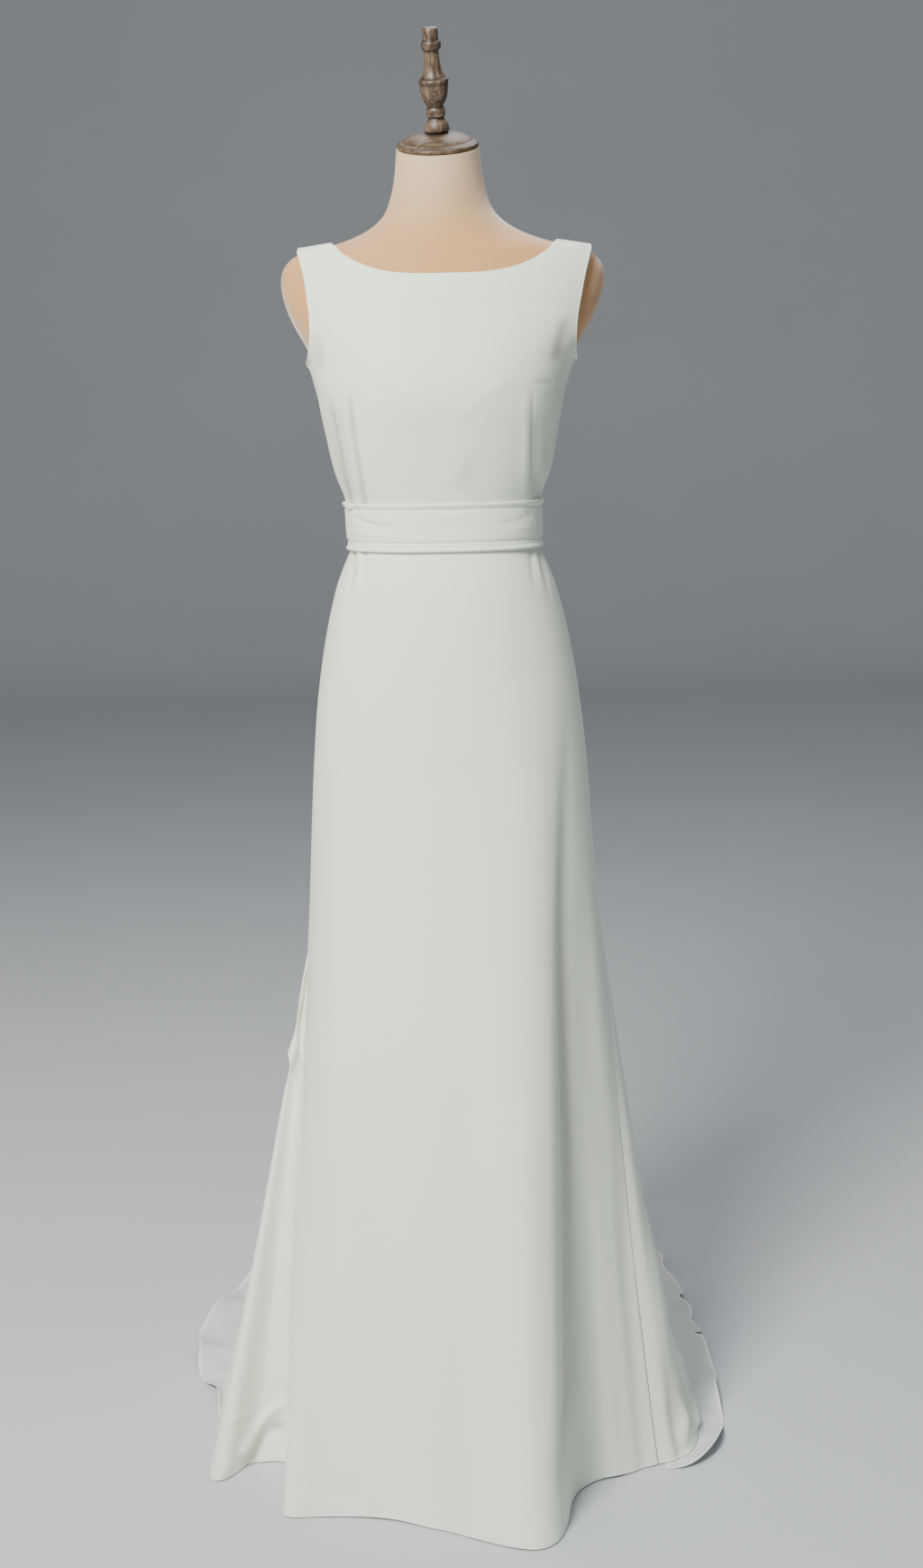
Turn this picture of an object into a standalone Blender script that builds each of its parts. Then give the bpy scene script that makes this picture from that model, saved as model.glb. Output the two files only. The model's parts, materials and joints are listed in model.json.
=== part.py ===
"""A sleeveless boat-neck gown with a ruffled train, worn by a limbless dress form on its stand.

Metres, +Z up. The front of the gown faces -Y, the train lies towards +Y, and the wearer's
right side is at -X. The origin is on the floor, at the middle of the stand's base.
Tables are in millimetres, and MM turns them into metres.
"""

import bisect
import math
from collections import namedtuple

import bmesh
import bpy
from mathutils import Matrix, Vector

MM = 0.001

# Driving dimensions of the cloth
CREPE = 1.5 * MM
CLEAR_OF_FORM = 1.8 * MM
CLEAR_OF_CLOTH = 1.2 * MM
SEAM_GAP = 0.3 * MM
BODICE_SEAM_GAP = 0.8 * MM
BELT_THICK = 2.0 * MM
BODICE_BOTTOM = 1105.0 * MM
SKIRT_TOP = 1104.2 * MM
HEM_HEIGHT = 1.6 * MM
LYING_TOP = CREPE + 0.1 * MM

# Neckline, shoulder seams and armholes
STRAP_START = 1424.5 * MM
FRONT_NECK = 1396.5 * MM
BACK_NECK = 1352.0 * MM
NECK_POWER = 3.3
BACK_NECK_POWER = 2.4
ARMPIT = 1303.0 * MM
ARMHOLE_EASE = 4.2 * MM
STRAP_LEVEL = 1400.0 * MM
STRAPS_ASIDE = 2.5 * MM

# Waist darts of the front bodice: each stands proud of the form and falls away outside its line
DART_COLUMN = 0.56
DART_FALL = 0.07
DART_RISE = 4.5 * MM
DART_TOP = 1272.0 * MM
DART_FOOT = 1146.0 * MM
MIDDLE_SHARE = 0.55

# Train and ruffle
FOLD_POWER = 1.1
FLOOR_BEND = 110.0 * MM
LYING_START = 170.0 * MM
RUFFLE_STEP = 17.0 * MM
RUFFLE_THICK = 1.2 * MM
RUFFLE_WAVE = 128.0 * MM
RUFFLE_RISE = 15.0 * MM
RUFFLE_DRAW = 0.12
RUFFLE_START_LEFT = 91.5
RUFFLE_START_RIGHT = -127.7

# Dress form and stand
NECK_SLOPE = math.radians(18.0)
NECK_BEND_START = 1462.0 * MM
NECK_TOP = 1541.0 * MM
NECK_AXIS_Y = -7.0 * MM
NECK_LEAN = math.radians(1.3)
FINIAL_LEAN = math.radians(1.8)
FINIAL_RAISE = 0.5 * MM
BASE_RADIUS = 160.0 * MM
BASE_HEIGHT = 12.0 * MM
POLE_RADIUS = 12.5 * MM
COLLAR_RADIUS = 30.0 * MM
COLLAR_HEIGHT = 42.0 * MM

FULL_TURN = 360.0
NOWHERE = Vector((0.0, 0.0, -9.0))

Section = namedtuple("Section", "height half_width front side back squareness")

# The dress form, from its open bottom edge to its neck: half its width, how far its front,
# its widest point and its back lie from the pole, and how square the section is.
FORM = [
    Section(765, 152, -106, 3, 110, 2.2),
    Section(820, 155.5, -111, 3, 118, 2.2),
    Section(882, 155, -114, 3, 124, 2.2),
    Section(936, 149.5, -111, 3, 120, 2.2),
    Section(990, 140, -106, 2, 109, 2.2),
    Section(1044, 123.5, -95.5, 0, 90, 2.2),
    Section(1090, 108, -86, 0, 79, 2.2),
    Section(1117, 107.5, -84, 0, 77.5, 2.2),
    Section(1145, 110.7, -86.5, 0, 79.5, 2.2),
    Section(1180, 122.5, -94.5, 0, 85.5, 2.25),
    Section(1222, 131.3, -106, 0, 91, 2.35),
    Section(1250, 136.8, -114.5, 0, 94, 2.4),
    Section(1275, 141, -118, 0, 96, 2.4),
    Section(1302, 147, -113.5, 0, 97.5, 2.35),
    Section(1322, 157, -107.5, 2, 98.5, 2.3),
    Section(1342, 169, -101, 5, 97, 2.2),
    Section(1360, 178, -95, 7, 94, 2.1),
    Section(1380, 184.5, -89, 8, 90, 2.05),
    Section(1398, 186.5, -83.5, 9, 85, 2.0),
    Section(1409, 184, -79.5, 9, 81, 2.0),
    Section(1418, 178, -76, 10, 77, 2.0),
    Section(1425.5, 168, -73, 10, 73.5, 2.0),
    Section(1431, 148, -70.5, 10, 70.5, 2.0),
    Section(1436, 125, -68, 9, 67, 2.0),
    Section(1446, 96, -64.5, 7, 61, 2.0),
    Section(1457, 76, -61.5, 4, 56, 2.0),
    Section(1469, 63.5, -59, 1, 52, 2.0),
    Section(1482, 57, -57.5, -2, 49, 2.0),
    Section(1495, 53, -57, -4, 46, 2.0),
    Section(1510, 50, -56.5, -6, 44, 2.0),
    Section(1541, 47, -55.5, -7, 41.5, 2.0),
]

# The skirt's outer face if it hung with no folds, from the waist seam to the floor.
SKIRT = [
    Section(0, 226, -272, 8, 300, 2.1),
    Section(200, 208, -232, 5, 232, 2.1),
    Section(400, 193, -192, 2, 176, 2.1),
    Section(600, 178.5, -152, 0, 144, 2.15),
    Section(680, 173, -139.5, 1, 137, 2.2),
    Section(750, 169, -130.5, 2, 133, 2.2),
    Section(820, 164.5, -123, 3, 130.5, 2.2),
    Section(882, 159, -118.5, 3, 128.5, 2.2),
    Section(936, 152.5, -114.5, 3, 123.5, 2.2),
    Section(990, 143, -109, 2, 112.5, 2.2),
    Section(1044, 129.3, -101, 0, 96, 2.2),
    Section(1072, 118.5, -94, 0, 87.5, 2.2),
    Section(1088, 111.5, -89.2, 0, 82.4, 2.2),
    Section(1104.2, 110.6, -87.7, 0, 81, 2.2),
]

Sway = namedtuple("Sway", "height aside")

# How far the form and its clothes lean aside from the pole.
SWAY = [
    Sway(0, 0),
    Sway(800, 0),
    Sway(1000, -0.5),
    Sway(1105, -1.2),
    Sway(1150, -2),
    Sway(1270, -2),
    Sway(1330, 0.8),
    Sway(1400, 2.6),
    Sway(1436, 2.6),
    Sway(1475, 0.5),
    Sway(1500, 0),
    Sway(1600, 0),
]

Armhole = namedtuple("Armhole", "height front_x back_x")

# How far the edge of the armhole lies from the middle, on the front and on the back.
ARMHOLES = [
    Armhole(1303, 150.5, 150.5),
    Armhole(1312, 147, 149.5),
    Armhole(1330, 145, 149),
    Armhole(1350, 146, 150.5),
    Armhole(1375, 150, 153.5),
    Armhole(1400, 155, 157.5),
    Armhole(1416, 160, 161),
    Armhole(1427, 164, 164),
    Armhole(1445, 164, 164),
]

DartLine = namedtuple("DartLine", "height right_share left_share")

# Where the dart's column runs, as a share of the panel's half width at that height, for the
# wearer's right and left. Above the bust it goes on to the neckline's corner and along the
# strap's inner edge.
DART_LINE = [
    DartLine(1105, 0.825, 0.89),
    DartLine(1145, 0.81, 0.88),
    DartLine(1200, 0.778, 0.79),
    DartLine(1265, 0.74, 0.715),
    DartLine(1340, 0.71, 0.705),
    DartLine(1400, 0.695, 0.695),
    DartLine(1424, 0.72, 0.72),
    DartLine(1436, 0.79, 0.79),
    DartLine(1446, 0.8, 0.8),
]

Hem = namedtuple("Hem", "turn floor_x floor_y edge_x edge_y fold_top")

# The hem from above, a row for each fold. turn is the angle round the hips from the front
# middle, floor_ is where the hanging cloth meets the floor, edge_ is the edge of what lies on
# it, and fold_top is the height where that fold begins.
HEM = [
    Hem(-180, 0, 330, 0, 690, 700),
    Hem(-170, -70, 322, -150, 652, 700),
    Hem(-161, -132, 296, -228, 566, 700),
    Hem(-152, -182, 255, -264, 466, 700),
    Hem(-145.5, -220, 204, -284, 368, 700),
    Hem(-139.5, -250, 148, -300, 262, 700),
    Hem(-134.5, -278, 84, -305, 150, 690),
    Hem(-130, -294, 14, -306, 38, 680),
    Hem(-125.5, -302, -82, -305, -78, 670),
    Hem(-121.5, -305, -160, -306, -161, 660),
    Hem(-117, -288, -177, -289, -178, 650),
    Hem(-110, -252, -140, -252, -141, 640),
    Hem(-102.5, -211, -143, -211, -144, 630),
    Hem(-96, -202, -198, -202, -199, 620),
    Hem(-90, -210, -247, -210, -248, 610),
    Hem(-84, -204, -261, -204, -262, 620),
    Hem(-74, -186, -264, -186, -265, 700),
    Hem(-55, -140, -263, -140, -264, 850),
    Hem(-35, -85, -270, -85, -271, 900),
    Hem(-18, -35, -294, -35, -295, 920),
    Hem(0, 14, -318, 14, -319, 930),
    Hem(15, 54, -335, 54, -336, 940),
    Hem(28, 84, -339, 84, -340, 945),
    Hem(38, 105, -322, 105, -323, 950),
    Hem(47, 117, -286, 117, -287, 950),
    Hem(55, 123, -248, 123, -249, 950),
    Hem(63, 135, -216, 135, -217, 940),
    Hem(72, 163, -191, 163, -192, 900),
    Hem(81, 200, -178, 200, -179, 840),
    Hem(90, 232, -160, 233, -161, 780),
    Hem(95, 257, -149, 259, -150, 740),
    Hem(101, 276, -115, 283, -117, 720),
    Hem(108, 277, -52, 292, -52, 710),
    Hem(116, 266, 28, 291, 36, 700),
    Hem(125, 249, 104, 287, 140, 700),
    Hem(134, 227, 168, 280, 246, 700),
    Hem(143, 201, 224, 268, 352, 700),
    Hem(152, 166, 272, 252, 452, 700),
    Hem(161, 120, 304, 216, 556, 700),
    Hem(170, 64, 324, 146, 650, 700),
    Hem(180, 0, 330, 0, 690, 700),
]

# Where the skirt has a row of points: so far down from the waist seam for the first few,
# and after the last of them at these shares of the way left to the hem. On the train the
# rows keep to the hanging part (0 to 1), the bend (1 to 2) and the part that lies (2 to 3).
SkirtRow = namedtuple("SkirtRow", "of_way of_parts")

SKIRT_DROPS = (0, 15.5, 34, 64)
SKIRT_ROWS = [
    SkirtRow(0.05, 0.06),
    SkirtRow(0.11, 0.13),
    SkirtRow(0.18, 0.21),
    SkirtRow(0.26, 0.3),
    SkirtRow(0.35, 0.41),
    SkirtRow(0.45, 0.53),
    SkirtRow(0.56, 0.65),
    SkirtRow(0.67, 0.77),
    SkirtRow(0.77, 0.89),
    SkirtRow(0.855, 1.0),
    SkirtRow(0.885, 1.25),
    SkirtRow(0.91, 1.5),
    SkirtRow(0.933, 1.75),
    SkirtRow(0.955, 2.0),
    SkirtRow(0.97, 2.3),
    SkirtRow(0.985, 2.65),
    SkirtRow(1.0, 3.0),
]

# The turns of the skirt's lengthwise threads, closest where it folds.
FRONT_TURNS = (
    -90, -88.6, -86.5, -83, -77, -68, -57, -46, -35, -26, -18, -9, 0, 8, 15, 22, 28,
    33, 38, 43, 47, 51, 55, 59, 63, 67, 72, 77, 83, 88, 90,
)
BACK_LEFT_TURNS = (
    90, 92, 95, 98, 101, 104.5, 108, 112, 116, 120.5, 125, 129.5, 134, 138.5, 143,
    147.5, 152, 156.5, 161, 165.5, 170, 175, 180,
)
BACK_RIGHT_TURNS = (
    -180, -175, -170, -165.5, -161, -156.5, -152, -148.7, -145.5, -142.5, -139.5, -137,
    -134.5, -132.2, -130, -127.7, -125.5, -123.5, -121.5, -119.3, -117, -113.5, -110,
    -106.2, -102.5, -99.2, -96, -92.5, -90,
)
FRONT_COLUMNS = (0, 0.1, 0.2, 0.3, 0.39, 0.47, 0.52)
BACK_COLUMNS = (0.0009, 0.13, 0.26, 0.37, 0.46, 0.52)
SIDE_COLUMNS = (DART_COLUMN, DART_COLUMN + DART_FALL, 0.76, 0.88, 1.0)

# The bodice's rows: the first few so far up from the waist seam, the others at these shares
# of the way left to the neckline or the shoulder seam.
BODICE_RISES = (0, 38, 62)
BODICE_SHARES = (0.13, 0.26, 0.39, 0.52, 0.64, 0.75, 0.84, 0.92, 1)
STRAP_SHARES = (0.3, 0.6, 0.85, 1)

BeltEdge = namedtuple("BeltEdge", "height proud")

# The belt's outer face from its lower edge to its upper one: a narrow strip, the tuck over
# it, and the rolled upper edge. proud is how far it stands out from the thinnest place.
BELT_PROFILE = [
    BeltEdge(1089.5, 0.0),
    BeltEdge(1101.5, 0.0),
    BeltEdge(1103.5, 1.1),
    BeltEdge(1122, 1.3),
    BeltEdge(1139, 0.5),
    BeltEdge(1144.5, 0.9),
]
BELT_LAP = 26.0
BELT_COLUMNS = 40

Turned = namedtuple("Turned", "along radius")

# The turned wood above the neck, measured along its own axis from the neck's top.
CAP_PROFILE = [
    Turned(0.3, 0),
    Turned(0.3, 45.5),
    Turned(2.5, 46.5),
    Turned(4.6, 46.2),
    Turned(5.9, 43.6),
    Turned(7.4, 40.5),
    Turned(9.8, 37.5),
    Turned(11.2, 35.0),
    Turned(12.0, 33.0),
    Turned(13.8, 28.0),
    Turned(15.2, 22.0),
    Turned(16.4, 17.5),
    Turned(17.0, 15.5),
    Turned(17.1, 0),
]
FINIAL_PROFILE = [
    Turned(17.4, 0),
    Turned(17.4, 13.6),
    Turned(19.2, 14.2),
    Turned(22.5, 13.8),
    Turned(27.0, 12.2),
    Turned(31.0, 9.4),
    Turned(33.0, 8.8),
    Turned(34.2, 10.4),
    Turned(38.0, 10.7),
    Turned(42.8, 10.2),
    Turned(44.4, 9.0),
    Turned(47.5, 10.6),
    Turned(54.0, 14.0),
    Turned(62.0, 15.6),
    Turned(69.5, 16.2),
    Turned(71.0, 17.0),
    Turned(74.0, 16.8),
    Turned(75.6, 14.8),
    Turned(79.5, 11.8),
    Turned(85.0, 9.6),
    Turned(95.0, 8.4),
    Turned(104.5, 8.2),
    Turned(106.4, 10.4),
    Turned(109.5, 11.2),
    Turned(113.5, 11.0),
    Turned(115.6, 8.7),
    Turned(126.5, 8.9),
    Turned(128.6, 7.6),
    Turned(129.2, 0),
]

RuffleWidth = namedtuple("RuffleWidth", "length left right")

# How wide each half of the ruffle is, so far along it from its narrow end.
RUFFLE_WIDTHS = [
    RuffleWidth(0, 12, 4),
    RuffleWidth(26, 24, 7),
    RuffleWidth(60, 29, 17),
    RuffleWidth(100, 31, 34),
    RuffleWidth(157, 34, 48),
    RuffleWidth(230, 40, 51),
    RuffleWidth(300, 43, 50),
    RuffleWidth(400, 44, 48),
    RuffleWidth(1500, 44, 48),
]

Finish = namedtuple("Finish", "name red green blue roughness metallic")

WHITE_CREPE = Finish("white crepe", 0.80, 0.81, 0.79, 0.62, 0.0)
FORM_JERSEY = Finish("form jersey", 0.72, 0.58, 0.45, 0.75, 0.0)
TURNED_WOOD = Finish("weathered turned wood", 0.24, 0.17, 0.12, 0.55, 0.0)
STEEL = Finish("brushed steel", 0.55, 0.55, 0.56, 0.35, 1.0)


def reading(rows, place):
    """The values of a table at a place between its rows, on a smooth curve through them."""
    places = [row[0] for row in rows]
    last = len(rows) - 1
    right = min(max(bisect.bisect_right(places, place), 1), last)
    left = right - 1
    span = places[right] - places[left]
    share = min(max((place - places[left]) / span, 0.0), 1.0)
    values = [place]
    for column in range(1, len(rows[0])):
        slopes = []
        for index in (left, right):
            before, after = max(index - 1, 0), min(index + 1, last)
            rise = rows[after][column] - rows[before][column]
            slopes.append(rise / (places[after] - places[before]) * span)
        start, end = rows[left][column], rows[right][column]
        values.append(
            start
            + share * slopes[0]
            + share**2 * (3 * (end - start) - 2 * slopes[0] - slopes[1])
            + share**3 * (2 * (start - end) + slopes[0] + slopes[1])
        )
    return type(rows[0])(*values)


def ring_point(table, height, turn):
    """A point of a section, turn degrees round from its front middle."""
    section = reading(table, height / MM)
    angle = math.radians(turn)
    power = 2.0 / section.squareness
    across = math.copysign(abs(math.sin(angle)) ** power, math.sin(angle))
    along = abs(math.cos(angle)) ** power
    depth = section.front if math.cos(angle) > 0 else section.back
    x = section.half_width * across
    y = section.side + (depth - section.side) * along
    return Vector((x * MM, y * MM, height))


def form_value(point):
    """Under 1 inside the dress form, 1 on its surface and more outside it."""
    section = reading(FORM, point.z / MM)
    depth = section.front if point.y / MM < section.side else section.back
    across = abs(point.x / MM) / section.half_width
    along = abs((point.y / MM - section.side) / (depth - section.side))
    return across**section.squareness + along**section.squareness


def form_normal(point):
    """The outward direction of the dress form's surface at a point of it."""
    step = 0.2 * MM
    slopes = []
    for axis in range(3):
        shift = Vector((0, 0, 0))
        shift[axis] = step
        slopes.append(form_value(point + shift) - form_value(point - shift))
    return Vector(slopes).normalized()


def form_face(x, height, side):
    """The form's surface at this place seen from the front (side -1) or the back (side 1)."""
    section = reading(FORM, height / MM)
    share = min(abs(x / MM) / section.half_width, 1.0)
    along = (1.0 - share**section.squareness) ** (1.0 / section.squareness)
    depth = section.front if side < 0 else section.back
    y = section.side + (depth - section.side) * along
    return Vector((x, y * MM, height))


def neckline_height(x, side):
    """The height of the neckline at this distance from the middle."""
    bottom, power = (FRONT_NECK, NECK_POWER) if side < 0 else (BACK_NECK, BACK_NECK_POWER)
    corner = column_x(DART_COLUMN, STRAP_START, side)
    return bottom + (STRAP_START - bottom) * (abs(x) / corner) ** power


def bodice_half_width(height, side):
    """How far the bodice panel reaches from the middle: its side seam, then its armhole."""
    if height <= ARMPIT:
        return reading(FORM, height / MM).half_width * MM
    hole = reading(ARMHOLES, height / MM)
    return (hole.front_x if side < 0 else hole.back_x) * MM


def column_share(column, height):
    """Where a column of the bodice lies across its half, with one column on the dart."""
    line = reading(DART_LINE, height / MM)
    dart = math.asin(line.left_share if column > 0 else line.right_share)
    if abs(column) <= DART_COLUMN:
        angle = column / DART_COLUMN * dart
    else:
        beyond = (abs(column) - DART_COLUMN) / (1 - DART_COLUMN)
        angle = math.copysign(dart + beyond * (math.pi / 2 - dart), column)
    return math.sin(angle)


def way_along(path):
    """How far along a path each of its points lies."""
    lengths = [0.0]
    for before, after in zip(path, path[1:]):
        lengths.append(lengths[-1] + (after - before).length)
    return lengths


def points_along(path, wanted):
    """The points of a path at these lengths along it."""
    lengths = way_along(path)
    points = []
    for length in wanted:
        right = min(max(bisect.bisect_left(lengths, length), 1), len(path) - 1)
        span = lengths[right] - lengths[right - 1]
        part = (length - lengths[right - 1]) / span if span else 0.0
        points.append(path[right - 1].lerp(path[right], part))
    return points


def along_path(path, starts, shares):
    """The points of a path at these first lengths, then at shares of what is left of it."""
    whole = way_along(path)[-1]
    wanted = [start * MM for start in starts]
    wanted += [wanted[-1] + share * (whole - wanted[-1]) for share in shares]
    return points_along(path, wanted)


def dart_rise(column, height):
    """How far the front bodice stands off the form, between the darts and on their lines."""
    if not DART_FOOT < height < DART_TOP:
        return 0.0
    share = (height - DART_FOOT) / (DART_TOP - DART_FOOT)
    swell = math.sin(math.pi * share**0.8)
    inside = abs(column) / DART_COLUMN
    if inside <= 1:
        across = MIDDLE_SHARE + (1 - MIDDLE_SHARE) * inside**3
    else:
        across = max(0.0, 1 - (abs(column) - DART_COLUMN) / DART_FALL)
    return DART_RISE * swell * across


def armhole_ease(column, height):
    """How far the cloth stands off the form near the armhole, more than elsewhere."""
    up = min(max((height - ARMPIT) / (40 * MM) + 1.0, 0.0), 1.0)
    return ARMHOLE_EASE * up * max(0.0, (abs(column) - 0.5) / 0.5)


def column_x(column, height, side):
    """How far from the middle a column of the bodice lies at this height."""
    return bodice_half_width(height, side) * column_share(column, height)


def straps_aside(height):
    """How far the bodice sits towards the wearer's left at this height, most on the straps."""
    up = min(max((height - ARMPIT) / (STRAP_LEVEL - ARMPIT), 0.0), 1.0)
    return STRAPS_ASIDE * up


def column_top(column, side):
    """The height where a column meets the neckline, or the shoulder seam on the strap."""
    low, high = STRAP_START, FORM[-1].height * MM
    if abs(column) < DART_COLUMN:
        low = FRONT_NECK if side < 0 else BACK_NECK
        high = STRAP_START
    for _ in range(40):
        middle = (low + high) / 2
        x = column_x(column, middle, side)
        if abs(column) < DART_COLUMN:
            below = middle < neckline_height(x, side)
        else:
            x += straps_aside(middle)
            below = reading(FORM, middle / MM).half_width * MM > abs(x)
        low, high = (middle, high) if below else (low, middle)
    return low


def bodice_point(column, height, side):
    """A point of the bodice's outer face. column runs from -1 to 1, from side to side."""
    x = column_x(column, height, side) + straps_aside(height)
    point = form_face(x, height, side)
    stand_off = CLEAR_OF_FORM + CREPE + armhole_ease(column, height)
    if side < 0:
        stand_off += dart_rise(column, height)
    point += form_normal(point) * stand_off
    point.y += side * BODICE_SEAM_GAP / 2
    return point


def column_path(column, side, bottom, top):
    """Close points up a column of the bodice, closest near its top."""
    heights = [top - (top - bottom) * (1.0 - step / 80) ** 2 for step in range(81)]
    return [bodice_point(column, height, side) for height in heights]


def bodice_column(column, side):
    """The points of a column, from the waist to the neckline or over the strap."""
    top = column_top(column, side)
    rows = column_path(column, side, BODICE_BOTTOM, min(top, STRAP_START))
    points = along_path(rows, BODICE_RISES, BODICE_SHARES)
    if top > STRAP_START:
        strap = column_path(column, side, STRAP_START, top)
        points += along_path(strap, (0,), STRAP_SHARES)[1:]
    return points


def bodice_panel(name, columns, side, flipped=False):
    """A bodice panel, whose strap has more rows than its columns under the neckline."""
    points = [bodice_column(column, side) for column in columns]
    rows = max(len(column) for column in points)
    short = [column + [None] * (rows - len(column)) for column in points]
    panel = grid_of(len(points), rows, lambda i, j: short[i][j] or NOWHERE)
    spare = [vert for vert in panel.verts if vert.co == NOWHERE]
    bmesh.ops.delete(panel, geom=spare, context="VERTS")
    cloth(name, panel, CREPE, flipped)


def skirt_hang(turn, height):
    """A point of the hanging skirt, before it bends on to the floor."""
    point = ring_point(SKIRT, height, turn)
    hem = reading(HEM, turn)
    fold = max(0.0, 1.0 - height / (hem.fold_top * MM)) ** FOLD_POWER
    floor = ring_point(SKIRT, 0.0, turn)
    point.x += fold * (hem.floor_x * MM - floor.x)
    point.y += fold * (hem.floor_y * MM - floor.y)
    return point


def skirt_path(turn):
    """The way of one thread of the skirt, from the waist seam down and along the floor, and
    how far along it the hanging part, the bend and the part that lies end."""
    steps = 140
    path = [skirt_hang(turn, SKIRT_TOP * (1 - step / steps)) for step in range(steps + 1)]
    foot, edge = path[-1].copy(), hem_edge(turn)
    foot.z = edge.z = HEM_HEIGHT
    lying = edge - foot
    bend = min(FLOOR_BEND, 0.9 * lying.length)
    rise = (LYING_TOP - HEM_HEIGHT) * min(lying.length / FLOOR_BEND, 1.0)
    foot.z += rise
    edge.z += rise
    path = [point for point in path if (point - foot).length > FLOOR_BEND]
    ends = [way_along(path)[-1]]
    start, end = path[-1], foot + (edge - foot).normalized() * bend
    for step in range(1, 9):
        share = step / 8
        path.append(
            start * (1 - share) ** 2 + foot * 2 * share * (1 - share) + end * share**2
        )
    ends.append(way_along(path)[-1])
    path.append(edge)
    ends.append(way_along(path)[-1])
    return path, ends


def skirt_thread(turn):
    """The points of one lengthwise thread of the skirt, one for each row."""
    path, ends = skirt_path(turn)
    starts = [drop * MM for drop in SKIRT_DROPS]
    marks = [starts[-1]] + ends
    hem = reading(HEM, turn)
    lying = math.hypot(hem.edge_x - hem.floor_x, hem.edge_y - hem.floor_y) * MM
    trailing = min(lying / LYING_START, 1.0)
    trailing = trailing * trailing * (3 - 2 * trailing)
    wanted = list(starts)
    for row in SKIRT_ROWS:
        by_way = starts[-1] + row.of_way * (ends[-1] - starts[-1])
        part = min(int(row.of_parts), 2)
        span = marks[part + 1] - marks[part]
        by_parts = marks[part] + span * (row.of_parts - part)
        wanted.append(by_way + trailing * (by_parts - by_way))
    return points_along(path, wanted)


def hem_edge(turn):
    """The edge of the train at this turn, on the floor."""
    hem = reading(HEM, turn)
    return Vector((hem.edge_x * MM, hem.edge_y * MM, 0.0))


def ruffle_waves(length):
    """How high the ruffle's outer edge stands at this length along it, from 0 to 1."""
    wander = 0.9 * math.sin(length / 0.31) + 0.5 * math.sin(length / 0.17 + 1.0)
    return 0.5 - 0.5 * math.cos(2 * math.pi * length / RUFFLE_WAVE + wander)


def material_of(finish):
    """The Principled material of a finish, made once."""
    material = bpy.data.materials.get(finish.name)
    if material:
        return material
    material = bpy.data.materials.new(finish.name)
    material.use_nodes = True
    shader = material.node_tree.nodes["Principled BSDF"]
    shader.inputs["Base Color"].default_value = (finish.red, finish.green, finish.blue, 1)
    shader.inputs["Roughness"].default_value = finish.roughness
    shader.inputs["Metallic"].default_value = finish.metallic
    return material


def finished(name, shape, finish):
    """An object of this shape, smooth but for its sharp edges, with its material."""
    mesh = bpy.data.meshes.new(name)
    shape.to_mesh(mesh)
    shape.free()
    mesh.shade_smooth()
    mesh.set_sharp_from_angle(angle=math.radians(40))
    mesh.materials.append(material_of(finish))
    made = bpy.data.objects.new(name, mesh)
    bpy.context.scene.collection.objects.link(made)
    return made


def grid_of(columns, rows, place):
    """A sheet of quads whose points are place(column index, row index)."""
    shape = bmesh.new()
    bmesh.ops.create_grid(shape, x_segments=columns - 1, y_segments=rows - 1, size=1.0)
    for vert in shape.verts:
        column = round((vert.co.x + 1) / 2 * (columns - 1))
        row = round((vert.co.y + 1) / 2 * (rows - 1))
        vert.co = place(column, row)
    return shape


def swayed(shape):
    """Moves a shape of the form or the gown aside, as far as the form leans there."""
    for vert in shape.verts:
        vert.co.x += reading(SWAY, vert.co.z / MM).aside * MM


def cloth(name, shape, thickness, flipped=False):
    """A sheet of outer points made a wall, its thickness laid inwards."""
    if flipped:
        bmesh.ops.reverse_faces(shape, faces=shape.faces)
    swayed(shape)
    made = finished(name, shape, WHITE_CREPE)
    wall = made.modifiers.new("Thickness", "SOLIDIFY")
    wall.thickness = thickness
    wall.offset = -1
    wall.use_even_offset = True
    return made


def spread(start, end, count):
    """count values from start to end."""
    return [start + (end - start) * index / (count - 1) for index in range(count)]


def make_bodice():
    """The front bodice in one panel, and the back in two that meet at the zip's seam."""
    half = FRONT_COLUMNS + SIDE_COLUMNS
    across = tuple(-column for column in reversed(half[1:])) + half
    bodice_panel("bodice_front", across, -1)
    half = BACK_COLUMNS + SIDE_COLUMNS
    bodice_panel("bodice_back_left", half, 1, flipped=True)
    bodice_panel("bodice_back_right", tuple(-column for column in half), 1)


def belt_point(turn, edge):
    """A point of the belt's outer face. Its last part laps over its first at the back."""
    proud = edge.proud * MM + CLEAR_OF_FORM + CREPE + CLEAR_OF_CLOTH + BELT_THICK
    start = FULL_TURN / 2
    lap = min(max((turn - (start - 2 * BELT_LAP)) / BELT_LAP, 0.0), 1.0)
    proud += lap * (BELT_THICK + 1.5 * MM + SEAM_GAP)
    point = ring_point(FORM, edge.height * MM, turn)
    outward = form_normal(point)
    outward.z = 0.0
    return point + outward.normalized() * proud


def make_belt():
    """The waist belt, one band whose ends lap at the back."""
    turns = spread(-FULL_TURN / 2, FULL_TURN / 2 + BELT_LAP / 2, BELT_COLUMNS)
    band = grid_of(
        len(turns),
        len(BELT_PROFILE),
        lambda i, j: belt_point(turns[i], BELT_PROFILE[j]),
    )
    cloth("waist_belt", band, BELT_THICK)


def skirt_panel(name, turns, first_beyond, last_beyond):
    """A skirt panel between two seams, each edge short of its line by half the seam's gap
    and by what the fold along the seam takes of the cloth's thickness."""
    threads = [skirt_thread(turn) for turn in turns]
    for edge, inner, beyond in ((0, 1, first_beyond), (-1, -2, last_beyond)):
        neighbour = skirt_thread(beyond)
        for row, point in enumerate(threads[edge]):
            inwards = threads[inner][row] - point
            fold = inwards.angle(point - neighbour[row])
            short = SEAM_GAP / 2 + CREPE * math.tan(fold / 2)
            threads[edge][row] = point + inwards.normalized() * short
    panel = grid_of(len(turns), len(threads[0]), lambda i, j: threads[i][-1 - j])
    cloth(name, panel, CREPE)


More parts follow.
